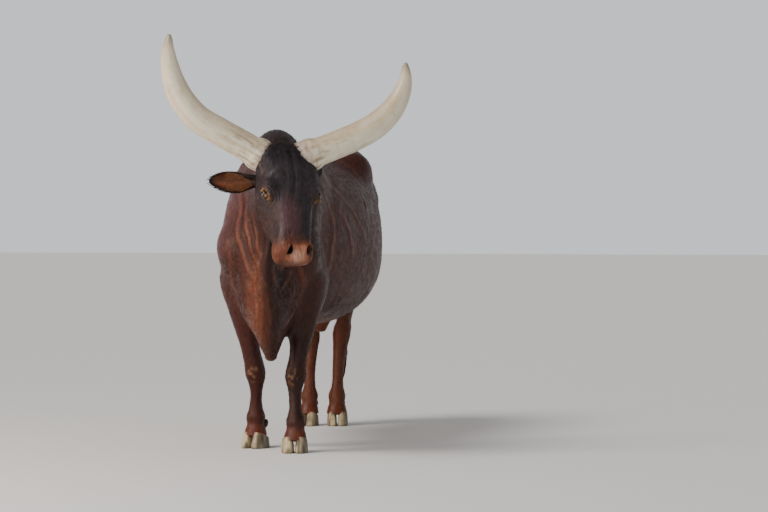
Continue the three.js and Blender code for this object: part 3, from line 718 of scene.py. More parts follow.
def line_distance(points, line):
    """Distance to a line through places, in as many dimensions as they have, and how far along it is."""
    line = np.asarray(line, float)
    best = np.full(len(points), 1e9)
    share = np.zeros(len(points))
    for k in range(len(line) - 1):
        run = line[k + 1] - line[k]
        t = np.clip((points - line[k]) @ run / (run @ run), 0, 1)
        out = np.linalg.norm(points - line[k] - t[:, None] * run, axis=1)
        closer = out < best
        best = np.where(closer, out, best)
        share = np.where(closer, (k + t) / (len(line) - 1), share)
    return best, share


def spline(points, count):
    """Evenly spaced places along a smooth curve, found from a centripetal chain."""
    points = np.asarray(points, float)
    ends = [2 * points[0] - points[1]], [2 * points[-1] - points[-2]]
    chain = np.concatenate([ends[0], points, ends[1]])
    knots = np.concatenate([[0], np.cumsum(np.linalg.norm(np.diff(chain, axis=0), axis=1) ** 0.5)])
    dense = []
    for k in range(1, len(chain) - 2):
        t0, t1, t2, t3 = knots[k - 1 : k + 3]
        t = np.linspace(t1, t2, 24, endpoint=False)[:, None]
        a1 = (t1 - t) / (t1 - t0) * chain[k - 1] + (t - t0) / (t1 - t0) * chain[k]
        a2 = (t2 - t) / (t2 - t1) * chain[k] + (t - t1) / (t2 - t1) * chain[k + 1]
        a3 = (t3 - t) / (t3 - t2) * chain[k + 1] + (t - t2) / (t3 - t2) * chain[k + 2]
        b1 = (t2 - t) / (t2 - t0) * a1 + (t - t0) / (t2 - t0) * a2
        b2 = (t3 - t) / (t3 - t1) * a2 + (t - t1) / (t3 - t1) * a3
        dense.append((t2 - t) / (t2 - t1) * b1 + (t - t1) / (t2 - t1) * b2)
    dense = np.concatenate(dense + [points[-1:]])
    length = np.concatenate([[0], np.cumsum(np.linalg.norm(np.diff(dense, axis=0), axis=1))])
    even = np.linspace(0, length[-1], count + 1)
    return np.stack([np.interp(even, length, dense[:, k]) for k in range(3)], 1)


# Ridges of skin: width, height, whether both sides have it, and places that are then settled on the skin
RIDGES = [
    (9, 4.5, True, [
        (157, 704, 1337), (249, 600, 1277), (305, 625, 1219), (343, 596, 1132), (350, 600, 1040),
    ]),
    (9, 5, True, [(209, 119, 1270), (250, 274, 1214), (299, 381, 1143), (335, 461, 1060), (345, 520, 960)]),
    (9, 4.5, True, [(163, 904, 1364), (241, 861, 1309), (305, 835, 1235), (350, 705, 1141)]),
    (10, 5, True, [(258, 227, 1143), (293, 302, 1062), (313, 355, 966), (312, 364, 870)]),
    (12, 6, True, [(213, 92, 1242), (248, 172, 1092), (255, 176, 1002), (253, 150, 868), (253, 14, 765)]),
    (10, 5, True, [(221, -2, 1144), (228, -16, 1061), (230, 60, 961), (239, 110, 843)]),
    (11, 8, False, [(-133, -124, 1205), (-120, -193, 1113), (-85, -266, 903), (-22, -327, 750)]),
    (11, 9, False, [(-92, -186, 1200), (-84, -239, 1113), (-30, -287, 904), (20, -370, 753)]),
    (10, 8, False, [(-45, -288, 1113), (-20, -300, 1000), (1, -306, 904), (38, -397, 785)]),
    (10, 8, False, [(200, -120, 1190), (190, -200, 1080), (140, -270, 930), (90, -350, 780)]),
    (10, 7, False, [(170, -230, 1150), (150, -270, 1040), (120, -330, 900), (80, -380, 780)]),
    (9, 7, False, [(-42, -285, 803), (-5, -340, 698), (-7, -321, 573)]),
    (8, 6, False, [(26, -382, 734), (15, -350, 624), (10, -300, 520)]),
    (9, 6, False, [(45, -400, 800), (45, -363, 679), (48, -329, 578), (32, -247, 455)]),
    (9, 6, False, [(-162, -89, 701), (-95, -176, 606), (-36, -281, 566)]),
    (9, 5, False, [(150, -150, 690), (100, -200, 620), (70, -280, 560)]),
    (14, 4, True, [(178, -224, 984), (160, -221, 883), (170, -130, 775), (138, -149, 706)]),
    (12, 4, True, [(300, 1010, 1010), (270, 1070, 880), (215, 1110, 790)]),
    (10, 4, True, [(60, 1462, 1260), (85, 1450, 1100), (95, 1420, 940)]),
    (9, 11, False, [(62, -400, 866), (74, -370, 815), (92, -310, 756)]),
    (9, 11, False, [(132, -236, 850), (118, -262, 805), (96, -296, 756)]),
]
FURROW = [(157, -445, 1408), (187, -481, 1325), (201, -509, 1258), (196, -550, 1170)]


def settled_line(line):
    places = spline(line, 12)
    return settle(skin_field, places, 8, 90)


FOLD_WIDTH = 1.55
FOLD_RISE = 0.95
FOLDS = []
for width, rise, paired, line in RIDGES:
    line = np.array(line, float)
    for copy in [line, line * [-1, 1, 1]] if paired else [line]:
        FOLDS.append((FOLD_WIDTH * width, FOLD_RISE * rise, settled_line(copy)))


def folds_over(points):
    """Height of all folds together, each a little uneven along its way."""
    height = np.zeros(len(points))
    wander = points + 9 * np.stack([noise(points, 70, seed) for seed in (31, 32, 33)], 1)
    for width, rise, line in FOLDS:
        height += ridge_height(wander, line, width, rise)
    return height * (0.8 + 0.45 * noise(points, 55, 34))


def ridge_height(points, line, width, rise):
    low, high = line.min(0) - 4 * width, line.max(0) + 4 * width
    near = np.flatnonzero(((points > low) & (points < high)).all(1))
    height = np.zeros(len(points))
    if len(near):
        away, share = line_distance(points[near], line)
        fade = np.sin(math.pi * np.clip(share * 0.94 + 0.03, 0, 1)) ** 0.5
        hill = np.exp(-((away / width) ** 2)) - 0.45 * np.exp(-((away / width / 2.2) ** 2))
        height[near] = rise * fade * hill
    return height


def relief(points):
    across, level, along = face.local(points).T
    on_head = smooth(along, -40, 60) * smooth(level, -330, -230) * (points[:, 1] < -300)
    body = 1 - on_head
    height = 2.2 * noise(points, 90, 1) * body + 0.5 * noise(points, 34, 2)
    height += 0.8 * noise(points * [1, 0.4, 0.5], 16, 21) * body
    height += folds_over(points)
    furrow = settled_line(FURROW)
    height -= ridge_height(points, furrow, 8, 4.5)
    for shift in (-26, 24):
        beside = settled_line(np.array(FURROW, float) + shift * face.basis[0])
        height += ridge_height(points, beside, 13, 4)
    forehead = smooth(along, -10, 30) * (1 - smooth(along, 170, 250)) * smooth(level, -120, -50)
    height += 1.8 * noise(points, 17, 22) * forehead
    for axes in eye_places.values():
        local = axes.local(points)
        out = np.hypot(local[:, 0], local[:, 1] * 1.15)
        ring = smooth(out, 29, 34) * (1 - smooth(out, 52, 70)) * (np.abs(local[:, 2]) < 60)
        height += 1.1 * ring * np.cos((out - 34) * 0.6 + 3.0 * noise(points, 34, 23))
    bent = along - 484 + 0.004 * across**2 + 4 * noise(points, 30, 26)
    crease = np.exp(-((bent / 9) ** 2)) * smooth(level, -100, -60) * (1 - smooth(np.abs(across), 40, 75))
    height -= 1.8 * crease
    height += 0.35 * noise(points, 5, 24) * smooth(along, 500, 520)
    return height


refined(skin, levels=1)
eye_centres = np.array([axes.origin for axes in eye_places.values()])
for reach, muzzle in ((75, 420), (42, 500)):
    places = from_frame(points_of(skin.data))
    inner = face.local(places)
    near_eye = np.min([np.linalg.norm(places - centre, axis=1) for centre in eye_centres], axis=0) < reach
    across, level, along = inner.T
    near_muzzle = (along > muzzle) & (along < 620) & (np.abs(across) < 130) & (level > -200)
    refined(skin, chosen=near_eye | near_muzzle)

skin_points = settle(skin_field, from_frame(points_of(skin.data)), 2, 5)
_, skin_steep = slope(skin_field, skin_points)
skin_normals = unit(skin_steep)
skin_points = skin_points + skin_normals * relief(skin_points)[:, None]
skin.data.vertices.foreach_set("co", to_frame(skin_points).ravel())
skin.data.update()


# Markings with painted light: one colour for each point of skin and coat, from named colours and places;
# some of them are painted highlights, painted bounce light and painted shade
def linear(text):
    """A colour in linear light from six digits."""
    value = np.array([int(text[k : k + 2], 16) / 255 for k in (0, 2, 4)])
    return np.where(value < 0.04045, value / 12.92, ((value + 0.055) / 1.055) ** 2.4)


TINTS = {
    "mahogany": "51251a",
    "umber": "2e170f",
    "slate": "373134",
    "tawny_and_bounce_light": "7d4526",
    "gold_and_sunlight": "bc8449",
    "soot": "100b0b",
    "left_flank": "55291a",
    "streak": "5c3022",
    "fold_highlight": "96563f",
    "right_shoulder_sheen": "7a5658",
    "breast_bounce_light": "7e4426",
    "bridge_highlight": "6b4443",
    "side_face": "4a2618",
    "muzzle": "7c442a",
    "nose_pad": "b67658",
    "lip": "4a2418",
    "nose_highlight": "e6b79c",
    "eyelid": "5e4234",
    "pastern": "6f3824",
    "knee": "8f6a44",
    "coat_shade": "1a0d0b",
    "coat_pale_pink": "8f7672",
    "horn": "e2d8bf",
    "horn_underside_shade": "b08653",
    "horn_cloud": "c9b48c",
    "horn_scratch": "8a6a44",
    "horn_crack": "6a4a2e",
    "horn_ring": "8d7350",
    "horn_tip": "3a2c28",
    "horn_border": "a88f86",
    "horn_grain": "cbb68e",
    "eyeball": "1f1410",
    "iris": "170c08",
    "pupil": "050404",
    "ear_cup": "4a2616",
    "ear_glow": "a05c2c",
    "ear_hair": "8a5a38",
    "hoof": "c9b991",
    "hoof_streak": "3c2e26",
    "hoof_shade": "2b241f",
    "hoof_top": "8a5a3a",
    "hoof_edge": "6e5a44",
    "hoof_grain": "6b5238",
    "dewclaw": "1f1916",
    "dewclaw_tip": "6b5236",
}
TINTS = {name: linear(text) for name, text in TINTS.items()}


def around(points, axes, centre, radii, soft=0.5):
    """1 inside an ellipsoid and 0 outside it, with a soft edge."""
    scaled = (axes.local(points) - np.asarray(centre, float)) / np.asarray(radii, float)
    return 1 - smooth(np.linalg.norm(scaled, axis=1), 1 - soft, 1 + soft)


def plain(name, count):
    return np.tile(TINTS[name], (count, 1))


def mixed(base, name, share):
    """Lays a named colour over a base, by its share at each point."""
    share = np.clip(share, 0, 1)[:, None]
    return base * (1 - share) + TINTS[name] * share


def body_washes(points):
    """Named colours of the body in the order they are laid on, each with its share at each point."""
    x, y, z = points.T
    streaks = 0.5 + 0.5 * noise(points * [1, 0.35, 0.35], 26, 3)
    patches = 0.5 + 0.5 * noise(points, 160, 4)
    streaky = smooth(noise(points * [1, 0.5, 0.22], 30, 35), 0.0, 0.7) * smooth(z, 560, 900)
    folds = folds_over(points)
    throat = around(points, upward, (98, 330, 812), (34, 60, 44), 0.3)
    return [
        ("umber", 0.45 * patches + 0.25 * streaks),
        ("umber", 0.6 * smooth(y, 300, 1100) * smooth(z, 900, 1300)),
        # Painted shade: the left foreleg darkened, on the side away from the sun
        ("umber", 0.75 * around(points, upward, (119, 40, 380), (110, 150, 330))),
        ("slate", 0.75 * around(points, backward, (0, 1470, 60), (120, 110, 260))),
        # Painted shade on the middle of the dewlap and the lower neck
        ("umber", 0.7 * around(points, upward, (60, 330, 780), (80, 170, 330))),
        # Tawny over the hind legs, belly and sheath: partly their own reddish colour, partly painted warm
        # bounce light from below
        ("tawny_and_bounce_light", 0.5 * (1 - smooth(z, 560, 660)) * smooth(y, 200, 400)),
        # Painted shade over the left side of the neck and body, the side away from the sun
        ("umber", 0.75 * smooth(x, 20, 240) * smooth(y, -300, 100) * smooth(z, 420, 700)),
        # Painted shade: near-black low on the left side of the body
        ("soot", 0.2 * smooth(x, 100, 260) * smooth(y, -100, 400) * (1 - smooth(z, 620, 1050))),
        # Lighter brown on the upper left flank, painted to make up for the grey reflection the lights give
        # this shaded side
        ("left_flank", 0.6 * smooth(x, 60, 220) * smooth(y, -150, 200) * smooth(z, 560, 760)),
        ("streak", 0.3 * streaky * smooth(x, 40, 200)),
        # Painted highlight along the crests of the skin folds
        ("fold_highlight", 0.8 * np.clip(folds / 4.5, 0, 1) * smooth(z, 480, 700)),
        # Painted sheen: a pinkish-lavender reflection on the right shoulder
        ("right_shoulder_sheen", 0.5 * around(points, upward, (-235, 0, 1130), (110, 330, 260), 0.5)),
        # Painted warm bounce light on the brisket
        ("breast_bounce_light", 0.5 * around(points, upward, (-20, 320, 680), (62, 150, 230), 0.5)),
        # Painted shade in the hollow between the two folds low on the left of the neck
        ("soot", 0.7 * throat * (1 - np.clip(folds / 4, 0, 1))),
    ]


def face_washes(points, head):
    """Named colours of the head, from its front down to the muzzle."""
    across, level, along = face.local(points).T
    front = head * smooth(level, -190, -110)
    side_face = head * smooth(-across, 62, 100) * smooth(along, 250, 400)
    uneven = 10 * noise(points, 26, 27)
    muzzle = smooth(along + uneven, 448, 532) * smooth(level, -180, -150) * head
    pad = muzzle * (1 - smooth(np.abs(across - 4) + 0.5 * uneven, 34, 66)) * smooth(along + uneven, 500, 530)
    mouth = np.abs(level - MOUTH["level"]) < 4
    a, b, c = NOSTRIL["place"]
    hole = np.stack([np.abs(across - NOSTRIL["middle"]) - a, level - b, along - c], 1) / NOSTRIL["dark"]
    return [
        ("slate", 0.95 * front),
        ("umber", 0.7 * (head - front)),
        # Painted highlight on the bridge of the nose
        ("bridge_highlight", 0.5 * around(points, face, (-30, -20, 400), (50, 60, 110), 0.6)),
        ("side_face", 0.6 * side_face),
        ("muzzle", 0.85 * muzzle),
        ("nose_pad", 0.75 * pad * smooth(level, -140, -128)),
        ("lip", 0.7 * smooth(along + 0.3 * uneven, 566, 578) * head),
        # Painted highlight on the nose pad
        ("nose_highlight", 0.6 * around(points, face, (2, -70, 556), (26, 40, 20), 0.7)),
        # Painted shade along the line of the mouth
        ("soot", 0.8 * mouth * smooth(along, 440, 452) * head),
        # Painted shade in and round the nostril openings
        ("soot", (1 - smooth(np.linalg.norm(hole, axis=1), 0.7, 1.05)) * head),
    ]


def eye_washes(points, head, axes):
    """Named colours round one eye: a golden rim that is partly its own colour and partly painted sunlight,
    wrinkles further out and dark edges of the lids.
    """
    local = axes.local(points)
    out = np.linalg.norm(local * [0.9, 1.2, 0.8], axis=1)
    below = smooth(local[:, 1], -16, 6)
    patchy = 0.7 + 0.3 * noise(points, 14, 28)
    lines = smooth(out, 30, 38) * (1 - smooth(out, 44, 66)) * smooth(noise(points, 12, 29), -0.4, 0.6)
    rim = np.min([np.linalg.norm(points - place, axis=1) for place in lid_ring(axes)], axis=0)
    return [
        # Gold round the eye, fullest below it: partly its own colour, partly painted sunlight
        ("gold_and_sunlight", (0.2 + 0.6 * below) * patchy * (1 - smooth(out, 24, 34)) * head),
        ("eyelid", 0.5 * lines * head),
        ("soot", 0.85 * (1 - smooth(rim, 3, 7))),
    ]


def markings_and_painted_light(points):
    _, y, z = points.T
    _, level, along = face.local(points).T
    head = smooth(along, -30, 40) * smooth(level, -300, -240) * smooth(y, -250, -330)
    washes = body_washes(points) + face_washes(points, head)
    for axes in eye_places.values():
        washes += eye_washes(points, head, axes)
    washes.append(("pastern", 0.6 * smooth(-z, -135, -95)))
    speckle = smooth(noise(points, 13, 6), -0.1, 0.5)
    for side, (foot_x, foot_y) in FORE_FOOT.items():
        knee = (foot_x - SIDES[side] * 4, -foot_y * 0.72 + 32, 352)
        washes.append(("knee", 0.6 * around(points, upward, knee, (34, 26, 42)) * speckle))
    tint = plain("mahogany", len(points))
    for name, share in washes:
        tint = mixed(tint, name, share)
    return tint


def paint(made, tints):
    layer = made.data.color_attributes.new("markings_and_painted_light", "FLOAT_COLOR", "POINT")
    layer.data.foreach_set("color", np.concatenate([tints, np.ones((len(tints), 1))], 1).ravel())


paint(skin, markings_and_painted_light(skin_points))


# Materials
class Nodes:
    """A short way to write a material's nodes."""

    def __init__(self, name):
        self.material = bpy.data.materials.new(name)
        self.material.use_nodes = True
        self.tree = self.material.node_tree
        self.shader = self.tree.nodes["Principled BSDF"]

    def add(self, kind, **settings):
        made = self.tree.nodes.new(kind)
        inputs = settings.pop("inputs", {})
        for key, value in settings.items():
            setattr(made, key, value)
        for key, value in inputs.items():
            self.put(value, made.inputs[key])
        return made

    def put(self, value, socket):
        if isinstance(value, bpy.types.NodeSocket):
            self.tree.links.new(value, socket)
        else:
            socket.default_value = value

    def set(self, **values):
        for key, value in values.items():
            self.put(value, self.shader.inputs[key.replace("_", " ")])

    def place(self, stretch=(1, 1, 1)):
        where = self.add("ShaderNodeTexCoord").outputs["Object"]
        return self.add("ShaderNodeMapping", inputs={"Vector": where, "Scale": stretch}).outputs["Vector"]

    def noise(self, scale, detail=3.0, stretch=(1, 1, 1), rough=0.55):
        made = self.add(
            "ShaderNodeTexNoise",
            inputs={"Vector": self.place(stretch), "Scale": scale, "Detail": detail, "Roughness": rough},
        )
        return made.outputs["Fac"]

    def range(self, value, low, high, to_low, to_high):
        made = self.add(
            "ShaderNodeMapRange",
            inputs={"Value": value, "From Min": low, "From Max": high, "To Min": to_low, "To Max": to_high},
        )
        return made.outputs["Result"]

    def mix(self, share, a, b, blend_type="MIX"):
        made = self.add("ShaderNodeMix", data_type="RGBA", blend_type=blend_type)
        self.put(share, made.inputs[0])
        self.put(a, made.inputs[6])
        self.put(b, made.inputs[7])
        return made.outputs[2]

    def bump(self, height, distance, strength=1.0, before=None):
        inputs = {"Height": height, "Distance": distance, "Strength": strength}
        if before is not None:
            inputs["Normal"] = before
        return self.add("ShaderNodeBump", inputs=inputs).outputs["Normal"]


def rgba(name):
    return (*[float(c) for c in TINTS[name]], 1.0)


def coat_material(name, roughness, relief_height):
    nodes = Nodes(name)
    tint = nodes.add("ShaderNodeVertexColor", layer_name="markings_and_painted_light").outputs["Color"]
    strands = nodes.noise(240, 2, (1, 0.12, 0.16))
    cloudy = nodes.noise(7, 4)
    tint = nodes.mix(nodes.range(strands, 0.35, 0.7, 0, 0.5), tint, rgba("coat_shade"), "MULTIPLY")
    # Pale pinkish clouds laid softly over the colour of the coat
    paled = nodes.mix(1.0, tint, rgba("coat_pale_pink"), "SOFT_LIGHT")
    tint = nodes.mix(nodes.range(cloudy, 0.4, 0.7, 0, 0.35), tint, paled)
    nodes.set(Base_Color=tint)
    nodes.set(Roughness=nodes.range(nodes.noise(30, 3), 0.3, 0.7, roughness - 0.07, roughness + 0.09))
    nodes.set(Sheen_Weight=0.01, Sheen_Roughness=0.4, Sheen_Tint=(0.9, 0.75, 0.75, 1.0))
    nodes.set(Specular_IOR_Level=0.24)
    wrinkles = nodes.bump(nodes.noise(60, 3, (1, 1, 0.4)), relief_height * 2)
    nodes.set(Normal=nodes.bump(strands, relief_height, 0.6, wrinkles))
    return nodes.material


def use(made, material, slot, *nodes_replaced):
    made.data.materials.clear()
    made.data.materials.append(material)
    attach(made, BODY)
    if nodes_replaced:
        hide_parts(*nodes_replaced)


coat = coat_material("coat", 0.42, 0.0008)
FLESH_NODES = ["head", "neck", "dewlap", "hump", "chest", "barrel", "hindquarters"]
for end in ("fore", "hind"):
    FLESH_NODES += [f"{end}{piece}_{side}" for piece in ("leg", "foot") for side in SIDES]
use(skin, coat, "coat", *FLESH_NODES)


# Bodies made of rows of points, and bodies swept along smooth curves
def ring_faces(rows, count):
    """Faces of a closed body made of rows of points in rings, with a cap at each end."""
    turn = np.arange(count)[None, :]
    i = np.arange(rows - 1)[:, None] * count + turn
    j = np.arange(rows - 1)[:, None] * count + (turn + 1) % count
    quads = np.stack([i, j, j + count, i + count], -1).reshape(-1, 4)
    return quads.tolist() + [list(range(count))[::-1], list(range((rows - 1) * count, rows * count))]


def round_object(name, subdivisions, radius):
    """A mesh object from a round ball, still at its own middle and without a place."""
    net = bmesh.new()
    bmesh.ops.create_icosphere(net, subdivisions=subdivisions, radius=radius)
    mesh = bpy.data.meshes.new(name)
    net.to_mesh(mesh)
    net.free()
    mesh.shade_smooth()
    made = bpy.data.objects.new(name, mesh)
    bpy.context.scene.collection.objects.link(made)
    return made


def circle(count):
    return np.linspace(0, 2 * math.pi, count, endpoint=False)


def frames_along(places, level):
    """Directions across a curve at each place, turning as little as they can."""
    along = unit(np.gradient(places, axis=0))
    side = unit(np.cross(along[0], level))
    sides = []
    for direction in along:
        side = unit(side - direction * (side @ direction))
        sides.append(side)
    sides = np.array(sides)
    return along, sides, np.cross(sides, along)


def tube(places, radii, around_count, level=(0, 0, 1), shape=None):
    """Points and faces of a closed body along a run; shape changes its radius by place and angle."""
    _, side, rise = frames_along(places, np.asarray(level, float))
    angle = circle(around_count)
    radius = np.repeat(np.asarray(radii, float)[:, None], around_count, 1)
    if shape is not None:
        radius = radius + shape(np.linspace(0, 1, len(places))[:, None], angle[None, :])
    points = (
        places[:, None]
        + radius[..., None] * np.cos(angle)[None, :, None] * side[:, None]
        + radius[..., None] * np.sin(angle)[None, :, None] * rise[:, None]
    )
    return points.reshape(-1, 3), ring_faces(*radius.shape)


# Horns
HORN_ROOT = (88, -40, -80)
HORN_RUN = {
    "right": [
        (-42, -22), (0, 0), (100, 64), (200, 124), (300, 190),
        (362, 268), (396, 345), (414, 430), (418, 505), (410, 566),
    ],
    "left": [
        (-36, -14), (10, 0), (92, 27), (168, 54), (252, 86),
        (340, 130), (410, 188), (462, 258), (490, 330), (497, 414),
    ],
}
HORN_LEAN = -24
HORN_PLACES = 150
HORN_ROUND = 56
horn_radius = through(
    [
        (0, 70), (0.07, 76), (0.12, 74), (0.16, 66), (0.3, 64), (0.5, 62),
        (0.66, 56), (0.8, 44), (0.9, 31), (0.97, 18), (1, 8),
    ]
)


def horn_material():
    nodes = Nodes("horn")
    tint = nodes.add("ShaderNodeVertexColor", layer_name="markings_and_painted_light").outputs["Color"]
    grain = nodes.noise(18, 5, (1, 1, 1), 0.65)
    tint = nodes.mix(nodes.range(grain, 0.5, 0.75, 0, 0.3), tint, rgba("horn_grain"), "MULTIPLY")
    nodes.set(Base_Color=tint)
    nodes.set(Roughness=nodes.range(grain, 0.3, 0.7, 0.3, 0.55))
    nodes.set(Specular_IOR_Level=0.5, Coat_Weight=0.15, Coat_Roughness=0.35)
    nodes.set(Normal=nodes.bump(nodes.noise(90, 4), 0.0006, 0.7))
    return nodes.material


horn_look = horn_material()
for side, sign in SIDES.items():
    across, ahead, up = HORN_ROOT
    run = HORN_RUN[side]
    line = [
        crown.point(sign * (across + reach), ahead + HORN_LEAN * (k / (len(run) - 1)) ** 2, up + rise)
        for k, (reach, rise) in enumerate(run)
    ]
    places = spline(line, HORN_PLACES)
    share = np.linspace(0, 1, len(places))
    radii = horn_radius(share)[:, 1]

    def rough_base(share, angle):
        wave = np.stack(np.broadcast_arrays(share * 60, np.cos(angle) * 3, np.sin(angle) * 3), -1)
        shape = wave.shape[:2]
        lumps = noise(wave.reshape(-1, 3), 1.0, 8).reshape(shape)
        fine = noise(wave.reshape(-1, 3) * [2.5, 3, 3], 1.0, 9).reshape(shape)
        near_base = 1 - smooth(share, 0.06, 0.26)
        return near_base * (1.8 * lumps + 0.9 * fine) + 0.5 * lumps - 0.8

    points, faces = tube(places, radii, HORN_ROUND, shape=rough_base)
    made = mesh_object("horn_" + side + "_fine", points, faces)
    nearest = np.repeat(share, HORN_ROUND)
    # Painted shade: the downward faces of the horn turn tan
    downward_shade = smooth(-normals_of(made.data)[:, 2], -0.2, 0.8)
    tint = plain("horn", len(points))
    tint = mixed(tint, "horn_underside_shade", 0.7 * downward_shade * (0.7 + 0.3 * noise(points, 60, 3)))
    turn = np.tile(circle(HORN_ROUND), len(places))
    wound = np.stack([nearest * 5, 5 * np.cos(turn), 5 * np.sin(turn)], 1)
    tint = mixed(tint, "horn_cloud", 0.55 * smooth(noise(wound, 1.0, 5), -0.1, 0.7))
    scratches = smooth(noise(wound * [4, 2, 2], 1.0, 6), 0.35, 0.8)
    tint = mixed(tint, "horn_scratch", 0.5 * scratches * (1 - nearest))
    cracks = smooth(noise(wound * [2.6, 4, 4], 1.0, 12), 0.25, 0.6) * (1 - smooth(nearest, 0.14, 0.4))
    tint = mixed(tint, "horn_crack", 0.65 * cracks)
    rings = smooth(noise(wound * [16, 0.5, 0.5], 1.0, 13), 0.2, 0.7) * (1 - smooth(nearest, 0.1, 0.3))
    tint = mixed(tint, "horn_ring", 0.5 * rings)
    tint = mixed(tint, "horn_tip", 0.5 * smooth(nearest, 0.9, 1.0))
    tint = mixed(tint, "horn_border", 0.5 * (1 - smooth(nearest, 0.075, 0.1)))
    paint(made, tint)
    use(made, horn_look, "horn", "horn_" + side)

# Eyes, with a wide iris, a lying pupil and a low bulge over both
IRIS = (12.5, 15)
PUPIL = (9.5, 5)
BULGE = 1.2
eye_nodes = Nodes("eye")
eye_nodes.set(Base_Color=eye_nodes.add("ShaderNodeVertexColor", layer_name="markings_and_painted_light").outputs["Color"])
eye_nodes.set(Roughness=0.08, Specular_IOR_Level=0.5, Coat_Weight=0.4, Coat_Roughness=0.04)
eye_nodes.set(Normal=eye_nodes.bump(eye_nodes.noise(400, 2), 0.0001, 0.2))
for side, axes in eye_places.items():
    made = round_object("eye_" + side + "_fine", 5, EYE_RADIUS)
    local = points_of(made.data)
    out = np.hypot(local[:, 0], local[:, 1])
    tint = plain("eyeball", len(local))
    tint = mixed(tint, "iris", 1 - smooth(out, *IRIS))
    slit = np.hypot(local[:, 0] / PUPIL[0], local[:, 1] / PUPIL[1])
    tint = mixed(tint, "pupil", 1 - smooth(slit, 0.85, 1.1))
    bulge = BULGE * (1 - smooth(out, 6, 14)) * (local[:, 2] > 0)
    local = local + unit(local) * bulge[:, None]
    made.data.vertices.foreach_set("co", to_frame(axes.points(local)).ravel())
    paint(made, tint)
    use(made, eye_nodes.material, "eye", "eye_" + side)

# Ears
EAR_LENGTH = 236
EAR_ROWS = 72
EAR_SPREAD = 33
EAR_BEND = -26
EAR_LINING = 0.8
EAR_ROOT = (106, -62, -179)
EAR_POINTING = {"right": (-0.965, -0.23, -0.02), "left": (0.5, -0.85, -0.02)}
EAR_FACING = {"right": (-0.16, 0.9, -0.3), "left": (0.82, 0.5, -0.3)}
ear_section = through(
    [
        (0, 22, 148, 8), (0.12, 23, 146, 8), (0.25, 32, 128, 7), (0.4, 43, 96, 6), (0.56, 48, 78, 5.5),
        (0.72, 43, 66, 5), (0.86, 30, 58, 4.5), (0.95, 17, 52, 4), (1, 6, 48, 3),
    ]
)


def ear_axes(side):
    along = crown.direction(*EAR_POINTING[side])
    facing = crown.direction(*EAR_FACING[side])
    facing = unit(facing - along * (facing @ along))
    across, ahead, up = EAR_ROOT
    return Axes(crown.point(SIDES[side] * across, ahead, up), np.cross(facing, along), facing, along)


ears = {}
for side in SIDES:
    axes = ear_axes(side)
    t = np.linspace(0, 1, EAR_ROWS)
    _, half, degrees, thick = ear_section(t).T
    opening = np.radians(degrees)
    radius = half / np.sin(np.minimum(opening, math.pi / 2))
    across = np.linspace(-1, 1, EAR_SPREAD)
    loops = []
    for outer in (True, False):
        share = across if outer else across[::-1]
        edge = 1 - 0.72 * np.abs(share) ** 4
        angle = share[None, :] * opening[:, None]
        r2 = radius[:, None] + (thick[:, None] * edge[None, :] if outer else EAR_LINING)
        bend = EAR_BEND * t[:, None] ** 2
        loops.append(
            np.stack(
                [
                    r2 * np.sin(angle),
                    bend + radius[:, None] - r2 * np.cos(angle) - half[:, None] * 0.5,
                    np.broadcast_to(t[:, None] * EAR_LENGTH, angle.shape),
                ],
                -1,
            )
        )
    grid = np.concatenate(loops, 1)
    count = grid.shape[1]
    points = axes.points(grid.reshape(-1, 3))
    made = mesh_object("ear_" + side + "_fine", points, ring_faces(EAR_ROWS, count))
    inside = np.tile(np.repeat([0.0, 1.0], EAR_SPREAD), EAR_ROWS)
    rim = np.tile(np.abs(across), 2 * EAR_ROWS)
    place = np.repeat(t, count)
    tint = mixed(plain("slate", len(points)), "umber", 0.6 + 0.4 * noise(points, 40, 4))
    hollow = inside * smooth(place, 0.16, 0.34) * (1 - smooth(place, 0.84, 0.97))
    tint = mixed(tint, "ear_cup", 0.9 * hollow * (1 - smooth(rim, 0.7, 0.98)))
    middle = axes.points(axes.local(points) * [0, 0, 1])
    lower = smooth((middle - points)[:, 2], -16, 20)
    glow = hollow * (1 - smooth(rim, 0.25, 0.75)) * (0.7 + 0.3 * noise(points, 18, 9)) * (0.2 + 0.8 * lower)
    tint = mixed(tint, "ear_glow", glow)
    tint = mixed(tint, "soot", smooth(place, 0.88, 1.0) * 0.7)
    paint(made, tint)
    use(made, coat, "coat", "ear_" + side)
    ears[side] = (axes, points, inside, rim, place)

# Claws and dewclaws
CLAW = {"ahead": 66, "behind": 50, "inner": 3, "outer": 62, "front": 76, "heel": 44}
CLAW_SIZE = {"fore": 1, "hind": 0.88}
CLAW_ROUND = 48
CLAW_LINE = {"front": 34, "heel": -46}
FEET = {"fore": FORE_FOOT, "hind": HIND_FOOT}
claw_shape = through([(0, 0.97, 0.96), (0.1, 1, 1), (0.55, 0.8, 0.96), (1, 0.6, 0.88)])


def hairline(ahead):
    """Height of the hairline over the sole, at a place ahead of the foot's middle."""
    share = (CLAW_LINE["front"] - ahead) / (CLAW_LINE["front"] - CLAW_LINE["heel"])
    return CLAW["front"] + share * (CLAW["heel"] - CLAW["front"])


def rounded(value, power):
    return np.sign(value) * np.abs(value) ** power


hoof_nodes = Nodes("hoof")
hoof_tint = hoof_nodes.add("ShaderNodeVertexColor", layer_name="markings_and_painted_light").outputs["Color"]
hoof_grain = hoof_nodes.noise(70, 4, (1, 1, 0.15))
hoof_lines = hoof_nodes.range(hoof_grain, 0.4, 0.7, 0, 0.6)
hoof_tint = hoof_nodes.mix(hoof_lines, hoof_tint, rgba("hoof_grain"), "MULTIPLY")
hoof_nodes.set(Base_Color=hoof_tint, Roughness=hoof_nodes.range(hoof_grain, 0.3, 0.7, 0.4, 0.65))
hoof_nodes.set(Normal=hoof_nodes.bump(hoof_grain, 0.0009, 0.8))

